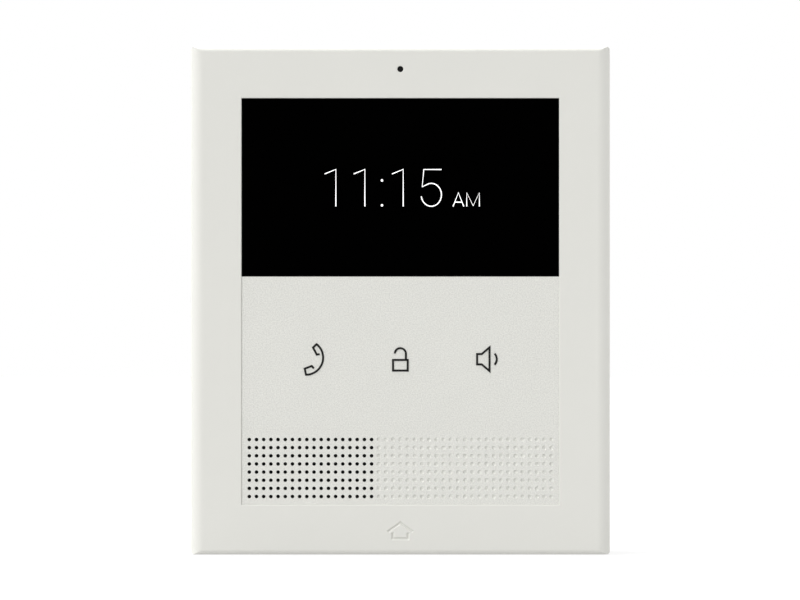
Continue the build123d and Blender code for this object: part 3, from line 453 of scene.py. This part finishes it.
def foam():
    """Open-cell gasket foam, with painted shade in the hollows of its cells."""
    made = Finish("Charcoal gasket foam", Specular_IOR_Level=0.2)
    cells = made.w.node("TexVoronoi", Vector=made.w.place(), Scale=2200.0)
    depth = made.w.remap(cells.outputs["Distance"], 0.05, 0.55)
    made.uneven_gloss(0.92)
    # Painted shade: the colour is darkest where the cells are deepest.
    made.colour(made.w.blend(depth, (0.01, 0.01, 0.011, 1.0), (0.045, 0.045, 0.048, 1.0)))
    made.bump(depth, 0.00012)
    return made.material


def rubber():
    """Matt rubber with a soft sheen."""
    made = Finish("Matt black rubber", Specular_IOR_Level=0.35, Sheen_Weight=0.08)
    made.toned((0.018, 0.018, 0.019), 0.72, amount=0.3, scale=220.0, swing=0.12)
    made.grained(3800.0, 0.000012)
    return made.material


def lead_jacket():
    """The sleeve of the thin wires inside."""
    made = Finish("Red lead jacket", Specular_IOR_Level=0.4)
    made.toned((0.10, 0.012, 0.011), 0.38, amount=0.25, scale=500.0, swing=0.1)
    made.grained(6000.0, 0.000006)
    return made.material


def diaphragm():
    """Pressed paper pulp with short fibres."""
    made = Finish("Pressed paper cone", Specular_IOR_Level=0.2)
    along = made.w.stretched((1.0, 1.0, 0.35))
    fibres = made.w.node("TexNoise", Vector=along, Scale=3200.0, Detail=4.0)
    light = made.w.remap(fibres.outputs["Fac"], 0.35, 0.7)
    made.uneven_gloss(0.85)
    made.colour(made.w.blend(light, (0.014, 0.013, 0.012, 1.0), (0.055, 0.05, 0.046, 1.0)))
    made.bump(light, 0.00005)
    return made.material


# ------------------------------------------------------------------ metals


def plated_steel(name, colour, roughness, streak, wear=0.5, spangle=0.0):
    """Rolled sheet under thin plating: long streaks, and bright rubbed edges."""
    made = Finish(name, Metallic=1.0)
    w = made.w
    lines = w.node("TexNoise", Vector=w.stretched(streak), Scale=900.0, Detail=4.0, Roughness=0.6)
    line = w.remap(lines.outputs["Fac"], 0.3, 0.7)
    even = made.toned(colour, roughness, amount=0.1, scale=200.0, swing=0.08)
    dull = tuple(part * 0.7 for part in colour) + (1.0,)
    streaked = w.blend(w.math("MULTIPLY", line, 0.25), even, dull)
    if spangle:
        flakes = w.node("TexVoronoi", Vector=w.place(), Scale=260.0)
        tint = w.remap(flakes.outputs["Color"], 0.0, 1.0, 1.0 - spangle, 1.0)
        grey = w.node("CombineColor", Red=tint, Green=tint, Blue=tint)
        streaked = w.blend(1.0, streaked, grey.outputs["Color"], "MULTIPLY")
    mask = made.group(EDGE_WEAR, Radius=0.00025)["Mask"]
    bright = tuple(min(1.0, part * 1.25) for part in colour) + (1.0,)
    made.colour(w.blend(w.math("MULTIPLY", mask, wear), streaked, bright))
    rolled = w.math("ADD", w.math("MULTIPLY", line, 0.14), roughness - 0.07)
    polished = w.math("SUBTRACT", rolled, w.math("MULTIPLY", mask, 0.12), clamp=True)
    w.set(made.shader, "Roughness", polished)
    made.bump(line, 0.000004)
    return made.material


def gold_contact():
    return plated_steel("Gold-plated contacts", (0.86, 0.6, 0.24), 0.22, (1.0, 1.0, 0.08), wear=0.25)


WIRE_TURN = 0.00015


def copper_coil():
    """Enamelled wire wound round the depth axis, with painted shade between the turns and a painted
    highlight along each turn.
    """
    made = Finish("Enamelled copper winding", Metallic=1.0, Coat_Weight=0.5, Coat_Roughness=0.15)
    w = made.w
    split = w.node("SeparateXYZ", Vector=w.place())
    turn = w.math("ABSOLUTE", w.math("SINE", w.math("MULTIPLY", split.outputs["Y"], pi / WIRE_TURN)))
    made.uneven_gloss(0.32, scale=700.0)
    # Painted shade and highlight: each turn is coloured dark at its edges and bright along its middle.
    made.colour(w.blend(turn, (0.2, 0.06, 0.022, 1.0), (0.7, 0.29, 0.12, 1.0)))
    made.bump(turn, 0.00005)
    return made.material


# ------------------------------------------------------------------ boards and electronics


def circuit_board(name, resist, track):
    """Solder resist over copper: tracks on a square grid, with filled vias between them."""
    made = Finish(name, Coat_Weight=0.35, Coat_Roughness=0.18)
    w = made.w
    split = w.node("SeparateXYZ", Vector=w.place())
    flat = w.node("CombineXYZ", X=split.outputs["X"], Y=split.outputs["Z"])
    square = {"distance": "CHEBYCHEV", "feature": "F2"}
    cells = w.node("TexVoronoi", square, Vector=flat.outputs[0], Scale=180.0)
    bands = w.math("SINE", w.math("MULTIPLY", cells.outputs["Distance"], 60.0))
    tracks = w.remap(bands, 0.1, 0.35)
    zones = w.node("TexNoise", Vector=flat.outputs[0], Scale=70.0, Detail=0.0)
    laid = w.math("MULTIPLY", tracks, w.remap(zones.outputs["Fac"], 0.42, 0.5), clamp=True)
    vias = w.node("TexVoronoi", Vector=flat.outputs[0], Scale=420.0, Randomness=0.75)
    via = w.remap(vias.outputs["Distance"], 0.13, 0.1)
    some = w.remap(vias.outputs["Color"], 0.72, 0.74)
    drilled = w.math("MULTIPLY", via, some)
    base = made.toned(resist, 0.34, amount=0.1, scale=80.0)
    coloured = w.blend(laid, base, (*track, 1.0))
    made.colour(w.blend(drilled, coloured, (0.62, 0.6, 0.56, 1.0)))
    made.bump(w.math("ADD", laid, w.math("MULTIPLY", drilled, -0.6)), 0.00002)
    return made.material


def chip_black():
    """Epoxy package with a laser-matted top."""
    made = Finish("Chip epoxy", Specular_IOR_Level=0.35)
    made.toned((0.017, 0.017, 0.018), 0.55, amount=0.25, scale=300.0, swing=0.15)
    made.grained(7000.0, 0.000008)
    return made.material


FLEX_PITCH = 0.0005


def flex_amber():
    """Polyimide film with copper lines under it."""
    made = Finish("Amber flat cable", Coat_Weight=0.6, Coat_Roughness=0.12)
    w = made.w
    split = w.node("SeparateXYZ", Vector=w.place())
    wave = w.math("SINE", w.math("MULTIPLY", split.outputs["X"], 2 * pi / FLEX_PITCH))
    line = w.remap(wave, -0.1, 0.15)
    base = made.toned((0.42, 0.16, 0.02), 0.4, amount=0.12, scale=200.0)
    made.colour(w.blend(line, base, (0.6, 0.28, 0.07, 1.0)))
    made.bump(line, 0.00001)
    return made.material


def rating_plate():
    """Satin silver film with a printed frame line near its edge."""
    made = Finish("Silver rating film", Metallic=0.7)
    w = made.w
    low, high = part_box("rating_label")
    middle = (low + high) / 2
    half = (high - low) / 2
    split = w.node("SeparateXYZ", Vector=w.place())
    across = w.math("ABSOLUTE", w.math("SUBTRACT", split.outputs["X"], middle.x))
    up = w.math("ABSOLUTE", w.math("SUBTRACT", split.outputs["Z"], middle.z))
    inset = w.math("MAXIMUM", w.math("SUBTRACT", across, half.x), w.math("SUBTRACT", up, half.z))
    inner_side = w.remap(inset, -0.0013, -0.00125)
    outer_side = w.remap(inset, -0.00095, -0.001)
    line = w.math("MULTIPLY", inner_side, outer_side)
    base = made.toned((0.62, 0.63, 0.64), 0.42, amount=0.06, scale=300.0)
    made.colour(w.blend(line, base, (0.03, 0.03, 0.03, 1.0)))
    made.grained(5200.0, 0.000006)
    return made.material


# Rolling marks run along the axis with the small number.
ALONG_X = (0.06, 1.0, 1.0)
ALONG_Z = (1.0, 1.0, 0.04)

FINISHES = {
    "cover_plastic": cover_plastic(),
    "panel_plastic": panel_plastic(),
    "lens_black": lens_black(),
    "icon_ink": icon_ink(),
    "mesh_cloth": mesh_cloth(),
    "foam": foam(),
    "rubber": rubber(),
    "display_glass": display_glass(),
    "tin_steel": plated_steel("Tin-plated steel", (0.66, 0.65, 0.63), 0.3, ALONG_X, wear=0.4),
    "zinc_steel": plated_steel(
        "Zinc-plated steel", (0.6, 0.62, 0.64), 0.4, ALONG_Z, wear=0.6, spangle=0.06
    ),
    "black_plastic": moulded("Black glass-filled nylon", (0.02, 0.02, 0.021), 0.48),
    "white_plastic": moulded("Natural white nylon", (0.66, 0.65, 0.6), 0.42, amount=0.03),
    "clear_plastic": frosted_resin(),
    "board_green": circuit_board("Green circuit board", (0.008, 0.075, 0.03), (0.018, 0.15, 0.055)),
    "board_white": circuit_board("White circuit board", (0.7, 0.71, 0.69), (0.78, 0.79, 0.77)),
    "flex_amber": flex_amber(),
    "chip_black": chip_black(),
    "magnet": plated_steel(
        "Nickel-coated magnet", (0.42, 0.41, 0.39), 0.24, (1.0, 0.4, 1.0), wear=0.3
    ),
    "diaphragm": diaphragm(),
    "copper_coil": copper_coil(),
    "lead_jacket": lead_jacket(),
    "gold_contact": gold_contact(),
    "terminal_green": moulded("Green terminal nylon", (0.012, 0.19, 0.062), 0.4, grain=3200.0),
    "capacitor_can": plated_steel(
        "Sleeved capacitor can", (0.6, 0.6, 0.6), 0.26, (1.0, 0.1, 1.0), wear=0.3
    ),
    "ferrite": moulded("Sintered ferrite", (0.035, 0.034, 0.036), 0.62, grain=1800.0, depth=0.00002),
    "label_silver": rating_plate(),
}

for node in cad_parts.values():
    for place in node.material_slots:
        place.material = FINISHES[place.material.name.split(".")[0]]


# ------------------------------------------------------------------ key panel with its grille


def grille_cells(bm):
    """A sheet of square cells, one for each hole or dimple, with a round outline in each."""
    columns = HOLE_COLUMNS + DIMPLE_COLUMNS
    half_width = columns * GRILLE_PITCH.x / 2
    half_height = GRILLE_ROWS * GRILLE_PITCH.z / 2
    spread = Matrix.Diagonal((half_width, half_height, 1, 1))
    place = at_depth(FACE_DEPTH, z=GRILLE_HEIGHT) @ spread
    bmesh.ops.create_grid(bm, x_segments=columns, y_segments=GRILLE_ROWS, size=1, matrix=place)
    cells = sorted(bm.faces, key=lambda face: face.calc_center_median().x)
    bmesh.ops.inset_individual(bm, faces=cells, thickness=CELL_MARGIN, use_even_offset=True)
    rims = list({edge for cell in cells for edge in cell.edges})
    bmesh.ops.subdivide_edges(bm, edges=rims, cuts=RING_SIDES // 4 - 1)
    holes = cells[: HOLE_COLUMNS * GRILLE_ROWS]
    dimples = cells[HOLE_COLUMNS * GRILLE_ROWS :]
    for cell in holes:
        round_off(cell, HOLE_RADIUS + RIM_ROUND)
    for cell in dimples:
        round_off(cell, DIMPLE_RADIUS)
    return holes, dimples, rims


def round_off(cell, radius):
    """Moves a cell's corners onto a circle, evenly spaced."""
    centre = cell.calc_center_bounds()
    step = 2 * pi / RING_SIDES
    for corner in cell.verts:
        out = corner.co - centre
        angle = round(atan2(out.z, out.x) / step) * step
        corner.co = centre + Vector((radius * cos(angle), 0, radius * sin(angle)))


def sink(bm, faces, steps):
    """Insets the faces ring by ring. Each step is how far in and how far down."""
    for inward, down in steps:
        bmesh.ops.inset_individual(bm, faces=faces, thickness=inward, depth=-down, use_even_offset=True)


def hole_bottoms(bm, holes):
    """Drills the holes through the skin and gives the edges of their inner ends. The rim of each
    hole is rounded in two facets."""
    skin = FACE_DEPTH - SPEAKER_POCKET_DEPTH
    sink(bm, holes, [(RIM_ROUND * 0.35, RIM_ROUND * 0.3), (RIM_ROUND * 0.65, RIM_ROUND * 0.7)])
    sink(bm, holes, [(0.0, skin - RIM_ROUND)])
    bottoms = list({edge for hole in holes for edge in hole.edges})
    move_to_depth(bottoms, SPEAKER_POCKET_DEPTH)
    bmesh.ops.delete(bm, geom=holes, context="FACES_ONLY")
    return bottoms


def round_outline(bm, depth, centre, radius):
    """An open circle of edges."""
    place = at_depth(depth, centre.x, centre.z)
    made = bmesh.ops.create_circle(bm, segments=48, radius=radius, matrix=place)
    return list({edge for point in made["verts"] for edge in point.link_edges})


def pocket_outline(bm, depth):
    """An open rectangle of edges with rounded corners, round the loudspeaker."""
    half = Matrix.Diagonal((SPEAKER_POCKET_SIZE.x / 2, SPEAKER_POCKET_SIZE.z / 2, 1, 1))
    place = at_depth(depth, SPEAKER_POCKET.x, SPEAKER_POCKET.z) @ half
    corners = bmesh.ops.create_grid(bm, x_segments=1, y_segments=1, size=1, matrix=place)["verts"]
    rounded = bmesh.ops.bevel(
        bm,
        geom=corners,
        affect="VERTICES",
        offset=SPEAKER_POCKET_CORNER,
        segments=6,
        profile=0.5,
        material=-1,
    )
    face = max((f for point in rounded["verts"] for f in point.link_faces), key=lambda f: len(f.verts))
    edges = list(face.edges)
    bmesh.ops.delete(bm, geom=[face], context="FACES_ONLY")
    return edges


def stretch_loop(edges, half_width, low, high):
    """Moves the points of a rectangular loop onto another rectangle round it."""
    points = points_of(edges)
    left, right = min(p.co.x for p in points), max(p.co.x for p in points)
    bottom, top = min(p.co.z for p in points), max(p.co.z for p in points)
    for point in points:
        if point.co.x - left < NEAR:
            point.co.x = -half_width
        elif right - point.co.x < NEAR:
            point.co.x = half_width
        if point.co.z - bottom < NEAR:
            point.co.z = low
        elif top - point.co.z < NEAR:
            point.co.z = high


def key_panel():
    """The panel from its grille outwards: face, softened edge, side, flange, back and pockets.
    Gives the mesh, and the mouths of the holes and dimples."""
    bm = bmesh.new()
    holes, dimples, mouths = grille_cells(bm)
    rim = open_edges(bm)
    sink(bm, dimples, DIMPLE_STEPS)
    bottoms = hole_bottoms(bm, holes)

    top = panel_high.z
    soft = PANEL_EDGE_ROUND
    front = extruded(bm, rim)
    stretch_loop(front, PANEL_FACE_HALF_WIDTH - soft, PANEL_FACE_BOTTOM + soft, top - soft)
    for share in (0.3, 1.0):
        angle = share * pi / 2
        front = extruded(bm, front)
        move_to_depth(front, FACE_DEPTH - soft * (1 - cos(angle)))
        grown = soft * (1 - sin(angle))
        stretch_loop(front, PANEL_FACE_HALF_WIDTH - grown, PANEL_FACE_BOTTOM + grown, top - grown)
    side = extruded(bm, front)
    move_to_depth(side, FLANGE_DEPTH)
    flange = extruded(bm, side)
    stretch_loop(flange, panel_high.x, panel_low.z, top)
    bmesh.ops.remove_doubles(bm, verts=points_of(flange + side), dist=NEAR / 10)
    inner_ends = set(bottoms)
    outline = [edge for edge in open_edges(bm) if edge not in inner_ends]
    back = extruded(bm, outline)
    move_to_depth(back, PANEL_BACK_DEPTH)

    pocket = pocket_outline(bm, PANEL_BACK_DEPTH)
    floor = extruded(bm, pocket)
    move_to_depth(floor, SPEAKER_POCKET_DEPTH)
    bmesh.ops.triangle_fill(bm, use_beauty=True, edges=floor + bottoms, normal=(0, 1, 0))
    wells = []
    for centre in KEY_CENTRES:
        mouth = round_outline(bm, PANEL_BACK_DEPTH, centre, GUIDE_POCKET_RADIUS)
        end = extruded(bm, mouth)
        move_to_depth(end, GUIDE_POCKET_DEPTH)
        bmesh.ops.edgeloop_fill(bm, edges=end)
        wells += mouth
    bmesh.ops.triangle_fill(bm, use_beauty=True, edges=back + pocket + wells, normal=(0, 1, 0))
    return bm, mouths


panel_mesh, panel_mouths = key_panel()
panel = as_piece(
    panel_mesh, "touch_key_panel", "monitor", FINISHES["panel_plastic"], creased=panel_mouths
)
panel.modifiers.new("Flat faces stay flat", "WEIGHTED_NORMAL").keep_sharp = True
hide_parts("key_panel")


# ------------------------------------------------------------------ raised touch symbols


SYMBOL_ROUND = 0.05


def raised_symbol(node):
    """The symbol's own outline with a slightly rounded front edge."""
    bm = bmesh.new()
    bm.from_mesh(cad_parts[node].data)
    bmesh.ops.remove_doubles(bm, verts=bm.verts, dist=NEAR * MM)
    bmesh.ops.scale(bm, vec=(1 / MM,) * 3, verts=bm.verts)
    bmesh.ops.dissolve_limit(bm, angle_limit=radians(2), verts=bm.verts, edges=bm.edges)
    front = min(point.co.y for point in bm.verts)
    foremost = [edge for edge in bm.edges if max(point.co.y for point in edge.verts) - front < NEAR]
    rim = [edge for edge in foremost if edge.calc_face_angle(0) > radians(60)]
    bmesh.ops.bevel(
        bm,
        geom=rim,
        affect="EDGES",
        offset=SYMBOL_ROUND,
        segments=2,
        profile=0.5,
        material=-1,
        clamp_overlap=True,
    )
    return bm


for symbol in ("call_icon", "lock_icon", "volume_icon"):
    name = symbol.replace("icon", "symbol")
    piece = as_piece(raised_symbol(symbol), name, "monitor", FINISHES["icon_ink"])
    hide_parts(symbol)


# ------------------------------------------------------------------ dust screen in the microphone hole, which also paints the hole's shade

MIC_HOLE_RADIUS = 0.9
SCREEN_SUNK = 0.37
SCREEN_THICKNESS = 0.2


def mic_screen_and_shade():
    """A disc of black cloth pressed into the hole, a little below the face: a dust screen, and also
    painted shade that darkens the hole.
    """
    bm = bmesh.new()
    boot_low, boot_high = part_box("mic_boot")
    centre = (boot_low + boot_high) / 2 / MM
    place = at_depth(-cad_low.y / MM - SCREEN_SUNK, centre.x, centre.z)
    disc(bm, 40, MIC_HOLE_RADIUS - 0.01, SCREEN_THICKNESS, place)
    return bm


screen = as_piece(mic_screen_and_shade(), "mic_dust_screen_and_shade", "monitor", FINISHES["mesh_cloth"])


# ------------------------------------------------------------------ rolled surround of the loudspeaker

surround_low, surround_high = (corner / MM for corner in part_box("speaker_surround"))

# The oval's middle, half the length of its straight sides, and distances out from the line that
# joins the centres of its round ends: the rim, the inner lip and the middle of the roll.
SURROUND_MIDDLE = (surround_low + surround_high) / 2
SURROUND_RIM = (surround_high.z - surround_low.z) / 2
SURROUND_STRAIGHT = (surround_high.x - surround_low.x) / 2 - SURROUND_RIM
SURROUND_LIP = SURROUND_RIM - 3.4
ROLL_MIDDLE = SURROUND_RIM - 1.8
ROLL_OUTSIDE = 0.9
ROLL_INSIDE = 0.6
END_WEDGES = 6
WEDGE_STEPS = 3


def roll_section(bm, centre_x):
    """The cut through the roll straight above a centre: a half round between two flat lips."""
    back, front = -surround_high.y, -surround_low.y
    section = [(SURROUND_RIM, front)]
    section += [roll_point(ROLL_OUTSIDE, angle) for angle in range(10, 171, 20)]
    section += [(SURROUND_LIP, front), (SURROUND_LIP, back), (ROLL_MIDDLE - ROLL_INSIDE, back)]
    section += [roll_point(ROLL_INSIDE, angle) for angle in range(165, 14, -25)]
    section += [(ROLL_MIDDLE + ROLL_INSIDE, back), (SURROUND_RIM, back)]
    corners = [bm.verts.new((centre_x, -depth, SURROUND_MIDDLE.z + out)) for out, depth in section]
    return bm.faces.new(corners)


def roll_point(radius, angle):
    """A point on the half round, as its distance out and its depth."""
    turn = radians(angle)
    return ROLL_MIDDLE + radius * cos(turn), -SURROUND_MIDDLE.y + radius * sin(turn)


def roll_stretch(name, centre_x, start, turned=0.0, length=0.0):
    """One stretch of the roll. It starts at a turn from the top and runs round its centre, or along X.
    Its outer lip lies on the basket and its inner lip on the cone."""
    bm = bmesh.new()
    centre = Vector((centre_x, 0, SURROUND_MIDDLE.z))
    cut = roll_section(bm, centre_x)
    bmesh.ops.rotate(bm, verts=bm.verts, cent=centre, matrix=Matrix.Rotation(start, 3, "Y"))
    if turned:
        whole = [cut, *cut.edges, *cut.verts]
        bmesh.ops.spin(
            bm, geom=whole, cent=centre, axis=(0, 1, 0), angle=turned, steps=WEDGE_STEPS
        )
    else:
        made = bmesh.ops.extrude_face_region(bm, geom=[cut])["geom"]
        ahead = [item for item in made if isinstance(item, bmesh.types.BMVert)]
        bmesh.ops.translate(bm, vec=(length, 0, 0), verts=ahead)
    piece = as_piece(bm, name, None, FINISHES["rubber"])
    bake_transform(piece)
    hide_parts("speaker_surround")


wedge = pi / END_WEDGES
for end, side in (("left", -1), ("right", 1)):
    end_x = SURROUND_MIDDLE.x + side * SURROUND_STRAIGHT
    for count in range(END_WEDGES):
        roll_stretch(f"surround_{end}_{count + 1}", end_x, side * count * wedge, turned=side * wedge)
for edge, start in (("top", 0.0), ("bottom", pi)):
    left_x = SURROUND_MIDDLE.x - SURROUND_STRAIGHT
    roll_stretch(f"surround_{edge}", left_x, start, length=2 * SURROUND_STRAIGHT)


# ------------------------------------------------------------------ clock reading on the display

STROKE_RADIUS = 0.15
STROKE_HEIGHT = 0.015
DIGIT_TOP = 39.4
DIGIT_BOTTOM = 28.25
LETTER_TOP = 32.4
LETTER_BAR = 29.56
ONE_STEMS = (-19.36, -10.65, 0.85)
ONE_FLAG = (-3.35, -1.38)
FIVE_TOP = DIGIT_TOP - 0.05
FIVE_BOWL_CENTRE = (9.3, 31.75)
FIVE_BOWL_SIZE = (3.05, 3.45)
COLON_X = -5.52
COLON_HEIGHTS = (36.06, 28.6)
COLON_RADIUS = 0.36


def clock_strokes():
    """Pen strokes as lists of (x, z) points: 11:15 AM."""
    flag_x, flag_z = ONE_FLAG
    ones = [[(x + flag_x, DIGIT_TOP + flag_z), (x, DIGIT_TOP), (x, DIGIT_BOTTOM)] for x in ONE_STEMS]
    five = [(12.35, FIVE_TOP), (7.05, FIVE_TOP), (6.55, 34.15), *five_bowl()]
    letter_a = [(15.82, DIGIT_BOTTOM), (17.43, LETTER_TOP), (19.04, DIGIT_BOTTOM)]
    bar = [(16.3, LETTER_BAR), (18.56, LETTER_BAR)]
    valley = (21.85, DIGIT_BOTTOM + 0.2)
    left_leg = [(19.94, DIGIT_BOTTOM), (19.94, LETTER_TOP)]
    right_leg = [(23.73, LETTER_TOP), (23.73, DIGIT_BOTTOM)]
    return [*ones, five, letter_a, bar, [*left_leg, valley, *right_leg]]


def five_bowl():
    """The round of the five, clockwise from its upper left."""
    centre_x, centre_z = FIVE_BOWL_CENTRE
    across, up = FIVE_BOWL_SIZE
    turns = [radians(118 - 14.5 * step) for step in range(21)]
    return [(centre_x + across * cos(turn), centre_z + up * sin(turn)) for turn in turns]


def clock():
    """Thin flat strokes that lie on the display window."""
    curve = bpy.data.curves.new("clock strokes", "CURVE")
    curve.dimensions = "3D"
    curve.bevel_depth = STROKE_RADIUS
    curve.bevel_resolution = 2
    curve.use_fill_caps = True
    for points in clock_strokes():
        line = curve.splines.new("POLY")
        line.points.add(len(points) - 1)
        for point, (x, z) in zip(line.points, points):
            point.co = (x, 0, z, 1)
    holder = bpy.data.objects.new("clock strokes", curve)
    mesh = bpy.data.meshes.new_from_object(holder)
    bpy.data.objects.remove(holder)
    bm = bmesh.new()
    bm.from_mesh(mesh)
    bpy.data.meshes.remove(mesh)
    for height in COLON_HEIGHTS:
        disc(bm, 16, COLON_RADIUS, 2 * STROKE_RADIUS, at_depth(0, COLON_X, height))
    bmesh.ops.remove_doubles(bm, verts=bm.verts, dist=NEAR)
    bmesh.ops.scale(bm, vec=(1, STROKE_HEIGHT / STROKE_RADIUS, 1), verts=bm.verts)
    bmesh.ops.translate(bm, vec=(0, lens_low.y, 0), verts=bm.verts)
    return bm


as_piece(clock(), "clock_reading", "monitor", clock_light())


# ------------------------------------------------------------------ studio

VIEW_DISTANCE = 1.3343
VIEW_SHIFT_X = -0.105
VIEW_SHIFT_Z = 0.165
FLOOR_REACH = 3.0
FLOOR_GAP = 0.3

# The floor's own light, as the camera sees it and as it falls on the object.
FLOOR_SHOWN = 0.75
FLOOR_LIGHT = 0.49

# The surroundings: their overall level, and the light of the even part, softbox and side panel.
SURROUNDINGS = 0.76
EVEN_LIGHT = 1.05
SOFTBOX_LIGHT = 1.3
SIDE_LIGHT = 1.0


def studio_floor():
    """A pale floor that glows a little, so that it shows white and lights the object from below."""
    bm = bmesh.new()
    place = Matrix.Translation((0, 0, cad_low.z - FLOOR_GAP * MM))
    bmesh.ops.create_grid(bm, x_segments=1, y_segments=1, size=FLOOR_REACH, matrix=place)
    mesh = bpy.data.meshes.new("studio_floor")
    bm.to_mesh(mesh)
    bm.free()
    floor = bpy.data.objects.new("studio_floor", mesh)
    bpy.context.scene.collection.objects.link(floor)
    made = Finish("Pale studio floor", Roughness=0.8, Specular_IOR_Level=0.0)
    seen = made.w.node("LightPath").outputs["Is Camera Ray"]
    made.colour((0.25, 0.25, 0.25, 1.0))
    made.w.set(made.shader, "Emission Color", (1.0, 1.0, 1.0, 1.0))
    glow = made.w.remap(seen, 0.0, 1.0, FLOOR_LIGHT, FLOOR_SHOWN)
    made.w.set(made.shader, "Emission Strength", glow)
    mesh.materials.append(made.material)


def studio_dome():
    """White surroundings, with a dark stand behind the camera, a softbox at the upper left and a
    panel at the right. The camera itself sees plain white."""
    world = bpy.data.worlds.new("studio")
    world.use_nodes = True
    world.node_tree.nodes.clear()
    w = Wiring(world.node_tree)
    way = w.node("TexCoord").outputs["Generated"]

    def towards(direction):
        dot = w.node("VectorMath", {"operation": "DOT_PRODUCT"})
        w.set(dot, "#0", way)
        w.set(dot, "#1", Vector(direction).normalized())
        return dot.outputs["Value"]

    def panel(direction, spread, strength):
        facing = w.math("MAXIMUM", towards(direction), 0.0)
        return w.math("MULTIPLY", w.math("POWER", facing, spread), strength)

    stand = w.remap(towards((0, -1, 0)), cos(radians(14)), cos(radians(62)), smooth=True)
    softbox = panel((-0.66, -0.11, 0.74), 3.0, SOFTBOX_LIGHT)
    side = panel((1.0, 0.1, -0.2), 2.0, SIDE_LIGHT)
    panels = w.math("ADD", softbox, side)
    light = w.math("MULTIPLY", w.math("MULTIPLY", stand, SURROUNDINGS), w.math("ADD", panels, EVEN_LIGHT))
    camera_ray = w.node("LightPath").outputs["Is Camera Ray"]
    grey = w.node("CombineColor", Red=light, Green=light, Blue=light)
    seen = w.blend(camera_ray, grey.outputs["Color"], (1.0, 1.0, 1.0, 1.0))
    back = w.node("Background", Color=seen, Strength=1.0)
    w.node("OutputWorld", Surface=back.outputs["Background"])
    bpy.context.scene.world = world


def studio_lamp(name, energy, softness, direction):
    """Even light that falls one way. More softness, in degrees, blurs the edges of its shadows."""
    lamp = bpy.data.lights.new(name, "SUN")
    lamp.energy = energy
    lamp.angle = radians(softness)
    light = bpy.data.objects.new(name, lamp)
    light.rotation_euler = Vector(direction).to_track_quat("-Z", "Y").to_euler()
    bpy.context.scene.collection.objects.link(light)


def camera():
    """Square on to the front, far enough away to be nearly free of perspective."""
    data = bpy.data.cameras.new("front view")
    data.lens = 200.0
    data.sensor_width = 36.0
    made = bpy.data.objects.new("front view", data)
    middle = (cad_low + cad_high) / 2
    shift = Vector((VIEW_SHIFT_X, 0, VIEW_SHIFT_Z)) * MM
    made.location = Vector((middle.x, cad_low.y - VIEW_DISTANCE, middle.z)) + shift
    made.rotation_euler = (radians(90), 0, 0)
    bpy.context.scene.collection.objects.link(made)
    bpy.context.scene.camera = made


studio_floor()
studio_dome()
studio_lamp("key light", 1.0, 12, (0.7, 0.54, -0.5))
studio_lamp("overhead light", 1.5, 30, (0.25, 0.0, -1.0))
camera()
bpy.context.scene.view_settings.view_transform = "Standard"
